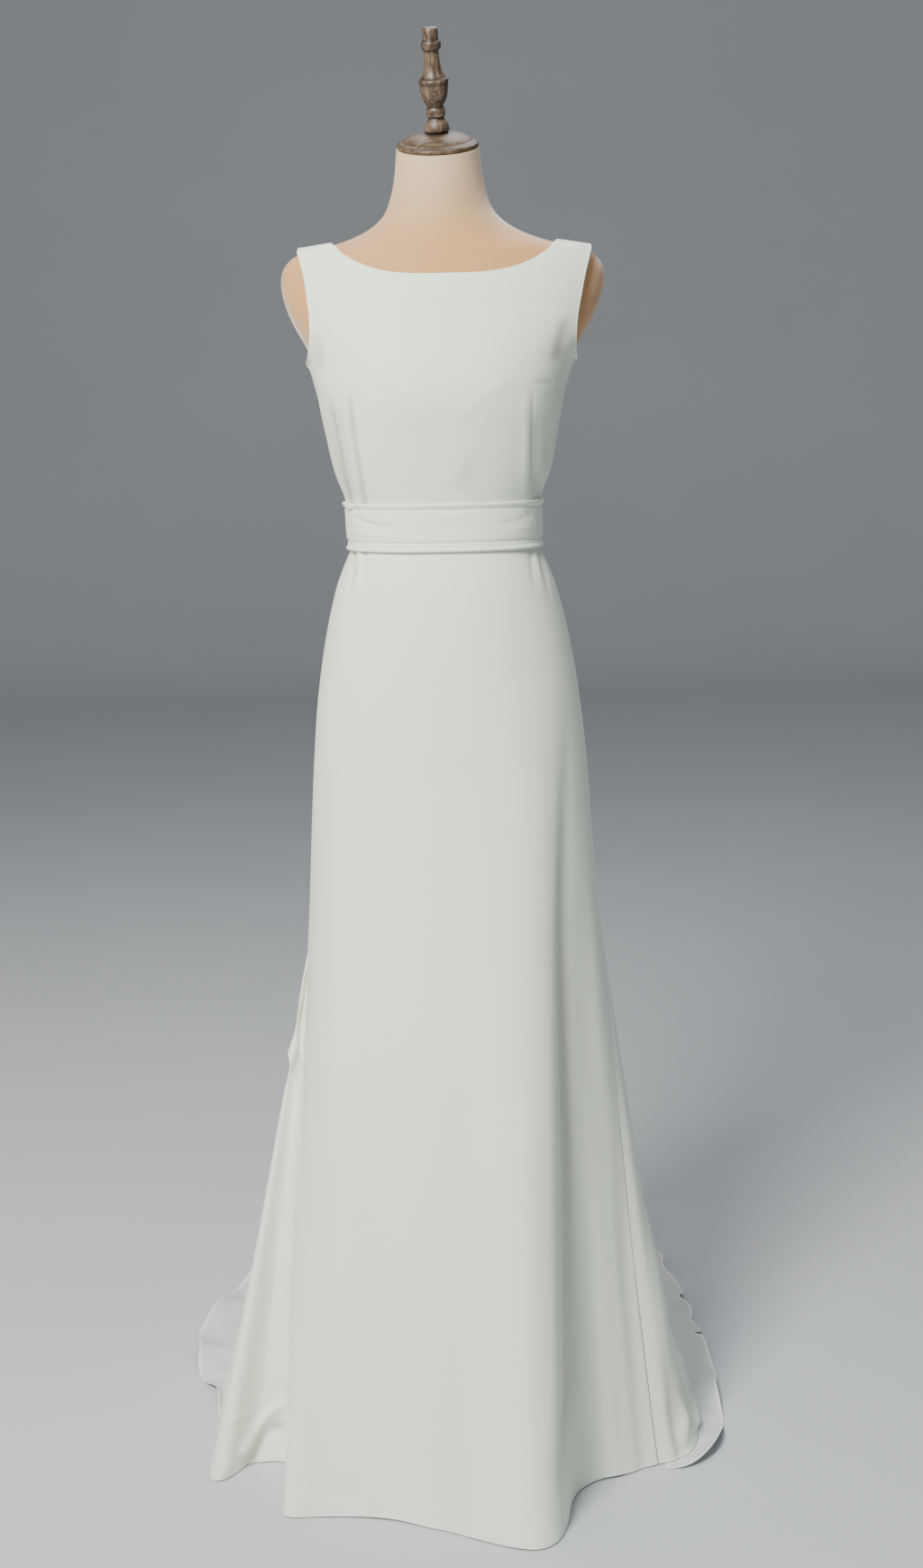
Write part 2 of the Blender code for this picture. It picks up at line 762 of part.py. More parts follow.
def make_skirt():
    """The skirt's front, and the two halves of its back, whose train lies on the floor."""
    front, left, right = FRONT_TURNS, BACK_LEFT_TURNS, BACK_RIGHT_TURNS
    skirt_panel("skirt_front", front, right[-2], left[1])
    skirt_panel("skirt_back_left", left, front[-2], right[1])
    skirt_panel("skirt_back_right", right, left[-2], front[1])


def ruffle_seam(turns):
    """The way along the train's edge, with the skirt's own corners and points between."""
    corners = [hem_edge(turn) for turn in turns]
    points = []
    for before, after in zip(corners, corners[1:]):
        count = math.ceil((after - before).length / RUFFLE_STEP)
        points += [before.lerp(after, index / count) for index in range(count)]
    return points + [corners[-1]]


def ruffle_panel(name, turns):
    """Half of the gathered ruffle along the train's edge, waved at its outer edge. It starts
    at the middle of the train and narrows where it ends."""
    seam = ruffle_seam(turns)
    lengths = way_along(seam)
    side = math.copysign(1.0, turns[0])
    across = (0.0, 0.35, 0.7, 1.0)

    def place(i, j):
        before, after = seam[max(i - 1, 0)], seam[min(i + 1, len(seam) - 1)]
        tangent = (after - before).normalized()
        outward = Vector((tangent.y, -tangent.x, 0.0)) * -side
        if i == 0:
            outward = Vector((0.0, 1.0, 0.0))
        share = across[j]
        widths = reading(RUFFLE_WIDTHS, (lengths[-1] - lengths[i]) / MM)
        width = (widths.left if side > 0 else widths.right) * MM
        wave = ruffle_waves(lengths[i])
        reach = SEAM_GAP + share * width * (1 - RUFFLE_DRAW * wave)
        point = seam[i] + outward * reach
        if i == 0:
            point.x += side * SEAM_GAP / 2
        point.z = RUFFLE_THICK + 0.1 * MM + RUFFLE_RISE * wave * share**1.5
        return point

    panel = grid_of(len(seam), len(across), place)
    cloth(name, panel, RUFFLE_THICK, flipped=side < 0)


def make_ruffle():
    """The two halves of the ruffle, which meet at the middle of the train."""
    left = [turn for turn in reversed(BACK_LEFT_TURNS) if turn >= RUFFLE_START_LEFT]
    right = [turn for turn in BACK_RIGHT_TURNS if turn <= RUFFLE_START_RIGHT]
    ruffle_panel("train_ruffle_left", left)
    ruffle_panel("train_ruffle_right", right)


def make_torso():
    """The dress form in one smooth closed body, its neck cut off at a slope."""
    columns = 36
    heights = [section.height * MM for section in FORM]
    shape = bmesh.new()
    rings = []
    for height in heights:
        ring = []
        for index in range(columns):
            point = ring_point(FORM, height, FULL_TURN * index / columns)
            bent = max(0.0, (height - NECK_BEND_START) / (NECK_TOP - NECK_BEND_START))
            point.z += bent * math.tan(NECK_SLOPE) * (point.y - NECK_AXIS_Y)
            point.z += bent * math.tan(NECK_LEAN) * point.x
            ring.append(shape.verts.new(point))
        rings.append(ring)
    for ring in rings:
        for before, after in zip(ring, ring[1:] + ring[:1]):
            shape.edges.new((before, after))
    for low, high in zip(rings, rings[1:]):
        loops = [edge for edge in shape.edges if set(edge.verts) <= set(low)]
        loops += [edge for edge in shape.edges if set(edge.verts) <= set(high)]
        bmesh.ops.bridge_loops(shape, edges=loops)
    for ring in (rings[0], rings[-1]):
        bmesh.ops.contextual_create(shape, geom=ring)
    bmesh.ops.recalc_face_normals(shape, faces=shape.faces)
    swayed(shape)
    finished("form_torso", shape, FORM_JERSEY)


def turned(name, profile, frame, finish, steps):
    """A piece turned round an axis from a table of heights and radii."""
    shape = bmesh.new()
    points = [Vector((row.radius * MM, 0.0, row.along * MM)) for row in profile]
    verts = [shape.verts.new(point) for point in points]
    edges = [shape.edges.new(pair) for pair in zip(verts, verts[1:])]
    bmesh.ops.spin(
        shape,
        geom=verts + edges,
        axis=(0, 0, 1),
        cent=(0, 0, 0),
        angle=2 * math.pi,
        steps=steps,
        use_merge=True,
    )
    bmesh.ops.remove_doubles(shape, verts=shape.verts, dist=0.01 * MM)
    bmesh.ops.recalc_face_normals(shape, faces=shape.faces)
    shape.transform(frame)
    return finished(name, shape, finish)


def make_neck_wood():
    """The turned cap and finial, square to the sloping top of the neck."""
    seat = Matrix.Translation((0.0, NECK_AXIS_Y, NECK_TOP))
    leaning = seat @ Matrix.Rotation(NECK_SLOPE, 4, "X") @ Matrix.Rotation(-NECK_LEAN, 4, "Y")
    turned("neck_cap", CAP_PROFILE, leaning, TURNED_WOOD, 36)
    foot = Matrix.Translation((0.0, 0.0, FINIAL_PROFILE[0].along * MM))
    aside = foot @ Matrix.Rotation(-FINIAL_LEAN, 4, "Y") @ foot.inverted()
    raised = Matrix.Translation((0.0, 0.0, FINIAL_RAISE))
    turned("neck_finial", FINIAL_PROFILE, leaning @ raised @ aside, TURNED_WOOD, 24)


def make_stand():
    """The round base and the pole with the collar that carries the form."""
    top = FORM[0].height * MM - SEAM_GAP
    base = [
        Turned(0, 0),
        Turned(0, BASE_RADIUS / MM - 2),
        Turned(2, BASE_RADIUS / MM),
        Turned(BASE_HEIGHT / MM - 4, BASE_RADIUS / MM),
        Turned(BASE_HEIGHT / MM, BASE_RADIUS / MM - 4),
        Turned(BASE_HEIGHT / MM, 0),
    ]
    turned("stand_base", base, Matrix.Identity(4), STEEL, 48)
    pole_foot = (BASE_HEIGHT + SEAM_GAP) / MM
    collar_foot = (top - COLLAR_HEIGHT) / MM
    pole = [
        Turned(pole_foot, 0),
        Turned(pole_foot, 24),
        Turned(pole_foot + 8, 24),
        Turned(pole_foot + 14, POLE_RADIUS / MM),
        Turned(collar_foot, POLE_RADIUS / MM),
        Turned(collar_foot + 6, COLLAR_RADIUS / MM),
        Turned(top / MM, COLLAR_RADIUS / MM),
        Turned(top / MM, 0),
    ]
    turned("stand_pole", pole, Matrix.Identity(4), STEEL, 24)


def main():
    """Clears the scene and makes every piece."""
    for old in list(bpy.data.objects):
        bpy.data.objects.remove(old)
    make_torso()
    make_neck_wood()
    make_stand()
    make_bodice()
    make_skirt()
    make_ruffle()
    make_belt()


main()
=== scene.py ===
"""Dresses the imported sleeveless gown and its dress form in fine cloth, wood, jersey and steel.

Metres, +Z up. The front of the gown faces -Y, the train lies towards +Y, and the wearer's left
side is at +X. The tables are in millimetres, as in the part's own source.
"""

import bisect
import json
import logging
import math
from collections.abc import Sequence
from dataclasses import dataclass, replace
from enum import Enum

import bmesh
import bpy
import numpy as np
from mathutils import Matrix, Vector, noise
from mathutils.kdtree import KDTree

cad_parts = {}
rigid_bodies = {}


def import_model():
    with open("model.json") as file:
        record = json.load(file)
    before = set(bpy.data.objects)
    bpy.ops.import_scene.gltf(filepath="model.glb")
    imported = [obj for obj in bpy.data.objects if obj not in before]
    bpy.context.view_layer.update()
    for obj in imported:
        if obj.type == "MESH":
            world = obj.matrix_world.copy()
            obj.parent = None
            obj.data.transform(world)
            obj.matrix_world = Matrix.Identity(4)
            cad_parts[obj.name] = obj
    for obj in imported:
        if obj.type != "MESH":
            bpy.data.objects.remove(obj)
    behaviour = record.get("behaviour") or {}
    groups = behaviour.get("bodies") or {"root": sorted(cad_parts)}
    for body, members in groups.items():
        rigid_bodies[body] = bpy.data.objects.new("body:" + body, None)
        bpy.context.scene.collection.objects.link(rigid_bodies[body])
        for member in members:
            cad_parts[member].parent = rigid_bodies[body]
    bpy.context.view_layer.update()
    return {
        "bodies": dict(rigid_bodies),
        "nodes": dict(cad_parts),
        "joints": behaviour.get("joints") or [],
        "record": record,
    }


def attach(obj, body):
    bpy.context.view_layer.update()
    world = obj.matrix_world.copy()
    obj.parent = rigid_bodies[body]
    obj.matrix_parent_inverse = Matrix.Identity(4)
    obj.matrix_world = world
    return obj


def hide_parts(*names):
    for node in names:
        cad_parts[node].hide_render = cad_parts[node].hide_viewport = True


MM = 0.001
FULL_TURN = 360.0
# A wave texture turns by this many radians in a unit
WAVE_TURN = 20.0
CLOTH_MAP = "Cloth"
EDGE_LAYER = "edge"
SEAM_LAYER = "seam"
GROOVE_LAYER = "groove"
# The strength of the painted shade in the cloth's crease troughs, kept on its points
FOLD_SHADE_LAYER = "fold"

Row = tuple[float, ...]
Points = list[list[Vector | None]]

log = logging.getLogger("gown")


def clamped(share: float) -> float:
    """The share, held between 0 and 1."""
    return min(max(share, 0.0), 1.0)


def smooth(share: float | np.ndarray) -> float | np.ndarray:
    """The share, eased at both of its ends."""
    return share * share * (3 - 2 * share)


@dataclass(frozen=True)
class Readings:
    """A table of measurements, read on a smooth curve through its rows."""

    rows: tuple[Row, ...]

    def at(self, place: float) -> Row:
        """The values at a place between two rows.

        Args:
            place: a value of the first column, held inside the table.

        Returns:
            The other columns' values there.
        """
        rows = self.rows
        last = len(rows) - 1
        right = min(max(bisect.bisect_right(rows, place, key=lambda row: row[0]), 1), last)
        left = right - 1
        span = rows[right][0] - rows[left][0]
        share = clamped((place - rows[left][0]) / span)
        before, after = rows[max(left - 1, 0)], rows[min(right + 1, last)]
        values = []
        for column in range(1, len(rows[0])):
            start, end = rows[left][column], rows[right][column]
            first = (end - before[column]) / (rows[right][0] - before[0]) * span
            second = (after[column] - start) / (after[0] - rows[left][0]) * span
            values.append(
                start
                + share * first
                + share**2 * (3 * (end - start) - 2 * first - second)
                + share**3 * (2 * (start - end) + first + second)
            )
        return tuple(values)


@dataclass(frozen=True)
class RoundShape:
    """A shape given by its level sections: half width, front, side, back and squareness."""

    sections: Readings

    def ring(self, height: float, turn: float) -> Vector:
        """The point of a section that lies turn degrees round from its front middle.

        Args:
            height: the section's height, in metres.
            turn: degrees round from the front middle.

        Returns:
            The point, in metres.
        """
        half_width, front, side, back, squareness = self.sections.at(height / MM)
        angle = math.radians(turn)
        power = 2.0 / squareness
        across = math.copysign(abs(math.sin(angle)) ** power, math.sin(angle))
        depth = front if math.cos(angle) > 0 else back
        y = side + (depth - side) * abs(math.cos(angle)) ** power
        return Vector((half_width * across * MM, y * MM, height))

    def value(self, point: Vector) -> float:
        """Under 1 inside the shape, 1 on its surface and more outside it.

        Args:
            point: the point, in metres.

        Returns:
            The sum of its shares of the section's half width and depth, raised.
        """
        half_width, front, side, back, squareness = self.sections.at(point.z / MM)
        depth = front if point.y / MM < side else back
        across = abs(point.x / MM) / half_width
        along = abs((point.y / MM - side) / (depth - side))
        return across**squareness + along**squareness

    def outward(self, point: Vector) -> Vector:
        """The outward direction of the surface at a point of it.

        Args:
            point: a point of the surface, in metres.

        Returns:
            A direction of length 1.
        """
        step = 0.2 * MM
        slopes = []
        for axis in range(3):
            shift = Vector((0, 0, 0))
            shift[axis] = step
            slopes.append(self.value(point + shift) - self.value(point - shift))
        return Vector(slopes).normalized()

    def face(self, x: float, height: float, side: int) -> Vector:
        """The surface at this place seen from the front (side -1) or the back (side 1).

        Args:
            x: how far from the middle, in metres.
            height: the height, in metres.
            side: -1 for the front, 1 for the back.

        Returns:
            The point of the surface, in metres.
        """
        half_width, front, middle, back, squareness = self.sections.at(height / MM)
        share = min(abs(x / MM) / half_width, 1.0)
        along = (1.0 - share**squareness) ** (1.0 / squareness)
        depth = front if side < 0 else back
        return Vector((x, (middle + (depth - middle) * along) * MM, height))


BODY = RoundShape(Readings((
    (765, 152, -106, 3, 110, 2.2), (820, 155.5, -111, 3, 118, 2.2),
    (882, 155, -114, 3, 124, 2.2), (936, 149.5, -111, 3, 120, 2.2),
    (990, 140, -106, 2, 109, 2.2), (1044, 123.5, -95.5, 0, 90, 2.2),
    (1090, 108, -86, 0, 79, 2.2), (1117, 107.5, -84, 0, 77.5, 2.2),
    (1145, 110.7, -86.5, 0, 79.5, 2.2), (1180, 122.5, -94.5, 0, 85.5, 2.25),
    (1222, 131.3, -106, 0, 91, 2.35), (1250, 136.8, -114.5, 0, 94, 2.4),
    (1275, 141, -118, 0, 96, 2.4), (1302, 147, -113.5, 0, 97.5, 2.35),
    (1322, 157, -107.5, 2, 98.5, 2.3), (1342, 169, -101, 5, 97, 2.2),
    (1360, 178, -95, 7, 94, 2.1), (1380, 184.5, -89, 8, 90, 2.05),
    (1398, 186.5, -83.5, 9, 85, 2.0), (1409, 184, -79.5, 9, 81, 2.0),
    (1418, 178, -76, 10, 77, 2.0), (1425.5, 168, -73, 10, 73.5, 2.0),
    (1431, 148, -70.5, 10, 70.5, 2.0), (1436, 125, -68, 9, 67, 2.0),
    (1446, 96, -64.5, 7, 61, 2.0), (1457, 76, -61.5, 4, 56, 2.0),
    (1469, 63.5, -59, 1, 52, 2.0), (1482, 57, -57.5, -2, 49, 2.0),
    (1495, 53, -57, -4, 46, 2.0), (1510, 50, -56.5, -6, 44, 2.0),
    (1541, 47, -55.5, -7, 41.5, 2.0),
)))

SKIRT = RoundShape(Readings((
    (0, 226, -272, 8, 300, 2.1), (200, 208, -232, 5, 232, 2.1),
    (400, 193, -192, 2, 176, 2.1), (600, 178.5, -152, 0, 144, 2.15),
    (680, 173, -139.5, 1, 137, 2.2), (750, 169, -130.5, 2, 133, 2.2),
    (820, 164.5, -123, 3, 130.5, 2.2), (882, 159, -118.5, 3, 128.5, 2.2),
    (936, 152.5, -114.5, 3, 123.5, 2.2), (990, 143, -109, 2, 112.5, 2.2),
    (1044, 129.3, -101, 0, 96, 2.2), (1072, 118.5, -94, 0, 87.5, 2.2),
    (1088, 111.5, -89.2, 0, 82.4, 2.2), (1104.2, 110.6, -87.7, 0, 81, 2.2),
)))

# How far aside the form and its clothes lean from the pole at each height.
SWAY = Readings((
    (0, 0), (800, 0), (1000, -0.5), (1105, -1.2), (1150, -2), (1270, -2),
    (1330, 0.8), (1400, 2.6), (1436, 2.6), (1475, 0.5), (1500, 0), (1600, 0),
))

# How far the armhole's edge lies from the middle at each height, on the front and the back.
ARMHOLES = Readings((
    (1303, 150.5, 150.5), (1312, 147, 149.5), (1330, 145, 149), (1350, 146, 150.5),
    (1375, 150, 153.5), (1400, 155, 157.5), (1416, 160, 161), (1427, 164, 164),
    (1445, 164, 164),
))

# Where the dart's column runs at each height, as a share of the panel's half width, on the
# wearer's right and left.
DART_LINE = Readings((
    (1105, 0.825, 0.89), (1145, 0.81, 0.88), (1200, 0.778, 0.79), (1265, 0.74, 0.715),
    (1340, 0.71, 0.705), (1400, 0.695, 0.695), (1424, 0.72, 0.72), (1436, 0.79, 0.79),
    (1446, 0.8, 0.8),
))

# The hem from above at each turn: where the cloth meets the floor (x, y), where its edge lies
# (x, y), and the height where that fold begins. On the wearer's right, behind the front, the
# folds begin higher than in the part, where its outline lies up to 15 mm inside the photo's.
HEM = Readings((
    (-180, 0, 330, 0, 690, 700), (-170, -70, 322, -150, 652, 700),
    (-161, -132, 296, -228, 566, 700), (-152, -182, 255, -264, 466, 700),
    (-145.5, -220, 204, -284, 368, 700), (-139.5, -250, 148, -300, 262, 700),
    (-134.5, -278, 84, -305, 150, 750), (-130, -294, 14, -306, 38, 785),
    (-125.5, -302, -82, -305, -78, 800), (-121.5, -305, -160, -306, -161, 800),
    (-117, -288, -177, -289, -178, 790), (-110, -252, -140, -252, -141, 740),
    (-102.5, -211, -143, -211, -144, 670), (-96, -202, -198, -202, -199, 620),
    (-90, -210, -247, -210, -248, 610), (-84, -204, -261, -204, -262, 620),
    (-74, -186, -264, -186, -265, 700), (-55, -140, -263, -140, -264, 850),
    (-35, -85, -270, -85, -271, 900), (-18, -35, -294, -35, -295, 920),
    (0, 14, -318, 14, -319, 930), (15, 54, -335, 54, -336, 940),
    (28, 84, -339, 84, -340, 945), (38, 105, -322, 105, -323, 950),
    (47, 117, -286, 117, -287, 950), (55, 123, -248, 123, -249, 950),
    (63, 135, -216, 135, -217, 940), (72, 163, -191, 163, -192, 900),
    (81, 200, -178, 200, -179, 840), (90, 232, -160, 233, -161, 780),
    (95, 257, -149, 259, -150, 740), (101, 276, -115, 283, -117, 720),
    (108, 277, -52, 292, -52, 710), (116, 266, 28, 291, 36, 700),
    (125, 249, 104, 287, 140, 700), (134, 227, 168, 280, 246, 700),
    (143, 201, 224, 268, 352, 700), (152, 166, 272, 252, 452, 700),
    (161, 120, 304, 216, 556, 700), (170, 64, 324, 146, 650, 700),
    (180, 0, 330, 0, 690, 700),
))

# The skirt's rows: shares of the whole way to the hem, and beside them how far on through the
# hanging part (0 to 1), the bend (1 to 2) and the part that lies (2 to 3) of the train.
SKIRT_ROWS = (
    (0.0, 0.0), (0.05, 0.06), (0.11, 0.13), (0.18, 0.21), (0.26, 0.3), (0.35, 0.41),
    (0.45, 0.53), (0.56, 0.65), (0.67, 0.77), (0.77, 0.89), (0.855, 1.0), (0.885, 1.25),
    (0.91, 1.5), (0.933, 1.75), (0.955, 2.0), (0.97, 2.3), (0.985, 2.65), (1.0, 3.0),
)


class Drawn(Enum):
    """The two directions in which a crease is drawn, as the axes it reads."""

    FRONT = (0, 2)
    FLOOR = (0, 1)


@dataclass(frozen=True)
class Crease:
    """A soft ridge drawn along a given line, or a trough where its rise is negative."""

    line: tuple[tuple[float, float], ...]
    rise: float
    width: float
    drawn: Drawn = Drawn.FRONT
    fades: tuple[float, float] = (0.25, 0.25)

    def offsets(self, points: np.ndarray) -> np.ndarray:
        """How far this crease moves each point along the cloth's outward direction.

        Args:
            points: the cloth's points, in metres.

        Returns:
            A distance in metres for each point.
        """
        flat = points[:, list(self.drawn.value)] / MM
        line = np.array(self.line, dtype=float)
        steps = np.linalg.norm(np.diff(line, axis=0), axis=1)
        starts = np.concatenate([[0.0], np.cumsum(steps)])
        nearest = np.full(len(flat), np.inf)
        along = np.zeros(len(flat))
        for start, end, step, before in zip(line, line[1:], steps, starts):
            way = (end - start) / step
            from_start = flat - start
            share = np.clip(from_start @ way, 0.0, step)
            away = from_start - share[:, None] * way
            distance = np.linalg.norm(away, axis=1)
            closer = distance < nearest
            nearest = np.where(closer, distance, nearest)
            along = np.where(closer, before + share, along)
        along /= starts[-1]
        rise_in = np.clip(along / self.fades[0], 0.0, 1.0) if self.fades[0] else 1.0
        rise_out = np.clip((1.0 - along) / self.fades[1], 0.0, 1.0) if self.fades[1] else 1.0
        taper = smooth(rise_in) * smooth(rise_out)
        return self.rise * MM * taper * np.exp(-((nearest / self.width) ** 2))


def way_along(path: Sequence[Vector]) -> list[float]:
    """How far along a path each of its points lies.

    Args:
        path: the points, in order.

    Returns:
        A length in metres for each point, from 0.
    """
    lengths = [0.0]
    for before, after in zip(path, path[1:]):
        lengths.append(lengths[-1] + (after - before).length)
    return lengths


def points_along(path: Sequence[Vector], wanted: Sequence[float]) -> list[Vector]:
    """The points of a path at these lengths along it.

    Args:
        path: the points of the path, in order.
        wanted: the lengths along it, in metres.

    Returns:
        A point for each length.
    """
    lengths = way_along(path)
    points = []
    for length in wanted:
        right = min(max(bisect.bisect_left(lengths, length), 1), len(path) - 1)
        span = lengths[right] - lengths[right - 1]
        part = (length - lengths[right - 1]) / span if span else 0.0
        points.append(path[right - 1].lerp(path[right], part))
    return points


def spread(start: float, end: float, count: int) -> list[float]:
    """count values from start to end."""
    return [start + (end - start) * index / (count - 1) for index in range(count)]


def swayed(shape: bmesh.types.BMesh) -> None:
    """Moves a shape of the form or the gown aside, as far as the form leans there."""
    for vert in shape.verts:
        vert.co.x += SWAY.at(vert.co.z / MM)[0] * MM


def linear(colour: str) -> tuple[float, float, float, float]:
    """The linear colour of an sRGB hex value such as #E8EAE6.

    Args:
        colour: the sRGB value, with its # sign.

    Returns:
        The linear red, green and blue, and an alpha of 1.
    """
    parts = [int(colour[place : place + 2], 16) / 255 for place in (1, 3, 5)]
    made = [part / 12.92 if part <= 0.04045 else ((part + 0.055) / 1.055) ** 2.4 for part in parts]
    return (made[0], made[1], made[2], 1.0)


def per_metre(size_mm: float) -> float:
    """The scale of a noise texture whose marks are this many millimetres across."""
    return 1000.0 / size_mm


def feed(tree: bpy.types.NodeTree, node: bpy.types.Node, inputs: dict[str | int, object]) -> None:
    """Gives sockets of a node their values, and links those that take another socket.

    Args:
        tree: the tree that the node stands in.
        node: the node.
        inputs: for each socket a value, or the socket that it is linked from.
    """
    for name, value in inputs.items():
        if isinstance(value, bpy.types.NodeSocket):
            tree.links.new(value, node.inputs[name])
        else:
            node.inputs[name].default_value = value


def add_node(
    tree: bpy.types.NodeTree, kind: str, inputs: dict[str | int, object], **settings: object
) -> bpy.types.Node:
    """Adds a node to a material.

    Args:
        tree: the material's node tree.
        kind: Blender's name for the kind of node.
        inputs: for each socket a value, or the socket that it is linked from.
        settings: the node's own properties.

    Returns:
        The new node.
    """
    node = tree.nodes.new(kind)
    for name, value in settings.items():
        setattr(node, name, value)
    feed(tree, node, inputs)
    return node


def new_material(name: str) -> tuple[bpy.types.Material, bpy.types.NodeTree, bpy.types.Node]:
    """A material with its node tree and its Principled shader.

    Args:
        name: the real material's name.

    Returns:
        The material, its tree and its shader.
    """
    material = bpy.data.materials.new(name)
    material.use_nodes = True
    tree = material.node_tree
    return material, tree, tree.nodes["Principled BSDF"]


@dataclass(frozen=True)
class CrepeFinish:
    """Heavy polyester crepe, woven of twisted thread: a matt, faintly pebbled white that
    shades softly, a little warmer in broad patches, with a painted shade, greyer and yellower,
    in the troughs of its creases."""

    name: str = "white crepe"
    fresh: str = "#EAF3E5"
    warm: str = "#EDF2DF"
    doubled: str = "#F6F9F1"
    # Painted shade: the greyer, yellower colour mixed in where the cloth lies in a crease's trough
    painted_fold_shade: str = "#B9B8A6"
    patch_mm: float = 170.0
    pebble_mm: float = 2.4
    # How far along the cloth the bands of its twist turn by a radian: 20 mm from band to band
    rib_mm: float = 3.2
    rib_share: float = 0.25
    hem_mm: float = 26.0
    hem_shows: float = 0.16
    roughness: float = 0.58
    sheen: float = 0.12
    pebble_depth: float = 0.00011
    hem_depth: float = 0.0006

    def material(self) -> bpy.types.Material:
        """Makes the crepe's material, whose pattern follows the cloth's own map.

        Returns:
            The new material.
        """
        material, tree, shader = new_material(self.name)
        place = add_node(tree, "ShaderNodeTexCoord", {}).outputs["Object"]
        cloth = add_node(tree, "ShaderNodeUVMap", {}, uv_map=CLOTH_MAP).outputs["UV"]
        edge = add_node(tree, "ShaderNodeAttribute", {}, attribute_name=EDGE_LAYER).outputs["Fac"]
        patches = add_node(
            tree, "ShaderNodeTexNoise",
            {"Vector": place, "Scale": per_metre(self.patch_mm), "Detail": 2.0},
        ).outputs["Fac"]
        body = add_node(
            tree, "ShaderNodeMix", {0: patches, 6: linear(self.fresh), 7: linear(self.warm)},
            data_type="RGBA",
        ).outputs[2]
        turned_in = add_node(
            tree, "ShaderNodeMapRange",
            {
                "Value": edge, "From Min": (self.hem_mm + 1.0) * MM, "From Max": self.hem_mm * MM,
                "To Max": self.hem_shows,
            },
        ).outputs["Result"]
        colour = add_node(
            tree, "ShaderNodeMix", {0: turned_in, 6: body, 7: linear(self.doubled)},
            data_type="RGBA",
        ).outputs[2]
        # Painted shade in the creases' troughs, as strong as the cloth's fold attribute says
        painted_fold_shade = add_node(tree, "ShaderNodeAttribute", {}, attribute_name=FOLD_SHADE_LAYER).outputs["Fac"]
        colour = add_node(
            tree, "ShaderNodeMix", {0: painted_fold_shade, 6: colour, 7: linear(self.painted_fold_shade)}, data_type="RGBA",
        ).outputs[2]
        # Real crepe has about 30 threads in a centimetre; drawn coarser, so that it shows.
        pebbles = add_node(
            tree, "ShaderNodeTexNoise",
            {"Vector": cloth, "Scale": per_metre(self.pebble_mm), "Detail": 3.0, "Roughness": 0.6},
        ).outputs["Fac"]
        # Soft bands across the cloth, where the twist of its threads changes
        ribs = add_node(
            tree, "ShaderNodeTexWave",
            {
                "Vector": cloth, "Scale": per_metre(self.rib_mm) / WAVE_TURN, "Distortion": 2.5,
                "Detail Scale": 4.0,
            },
            bands_direction="Y",
        ).outputs["Fac"]
        weave = add_node(
            tree, "ShaderNodeMath", {0: ribs, 1: self.rib_share, 2: pebbles},
            operation="MULTIPLY_ADD",
        ).outputs[0]
        bump = add_node(
            tree, "ShaderNodeBump",
            {"Height": weave, "Strength": 0.35, "Distance": self.pebble_depth},
        ).outputs["Normal"]
        ridge = add_node(
            tree, "ShaderNodeBump",
            {"Height": turned_in, "Strength": 0.5, "Distance": self.hem_depth, "Normal": bump},
        ).outputs["Normal"]
        gloss = add_node(
            tree, "ShaderNodeMapRange",
            {"Value": pebbles, "To Min": self.roughness + 0.07, "To Max": self.roughness - 0.05},
        ).outputs["Result"]
        feed(tree, shader, {"Base Color": colour, "Normal": ridge, "Roughness": gloss})
        feed(tree, shader, {"Sheen Weight": self.sheen, "Sheen Roughness": 0.45})
        feed(tree, shader, {"Specular IOR Level": 0.35})
        return material


@dataclass(frozen=True)
class JerseyFinish:
    """Fine knitted jersey stretched over the form: nude beige, paler and pinker up the neck,
    with small loops that leave it quite matt."""

    name: str = "nude jersey"
    chest: str = "#C68D54"
    neck: str = "#D0B08A"
    fleck: str = "#D4B58B"
    loop_mm: float = 2.6
    loop_depth: float = 0.0002
    # The heights between which the cover grows paler
    paler: tuple[float, float] = (1.43, 1.52)
    roughness: float = 0.72

    def material(self) -> bpy.types.Material:
        """Makes the jersey's material.

        Returns:
            The new material.
        """
        material, tree, shader = new_material(self.name)
        place = add_node(tree, "ShaderNodeTexCoord", {}).outputs["Object"]
        height = add_node(tree, "ShaderNodeSeparateXYZ", {"Vector": place}).outputs["Z"]
        rise = add_node(
            tree, "ShaderNodeMapRange",
            {"Value": height, "From Min": self.paler[0], "From Max": self.paler[1]},
            interpolation_type="SMOOTHSTEP",
        ).outputs["Result"]
        body = add_node(
            tree, "ShaderNodeMix", {0: rise, 6: linear(self.chest), 7: linear(self.neck)},
            data_type="RGBA",
        ).outputs[2]
        loops = add_node(
            tree, "ShaderNodeTexVoronoi", {"Vector": place, "Scale": per_metre(self.loop_mm)},
        ).outputs["Distance"]
        faint = add_node(
            tree, "ShaderNodeMath", {0: loops, 1: 0.3}, operation="MULTIPLY"
        ).outputs[0]
        colour = add_node(
            tree, "ShaderNodeMix", {0: faint, 6: body, 7: linear(self.fleck)}, data_type="RGBA",
        ).outputs[2]
        bump = add_node(
            tree, "ShaderNodeBump", {"Height": loops, "Strength": 0.3, "Distance": self.loop_depth}
        ).outputs["Normal"]
        feed(tree, shader, {"Base Color": colour, "Normal": bump})
        feed(tree, shader, {"Roughness": self.roughness, "Sheen Weight": 0.45})
        return material


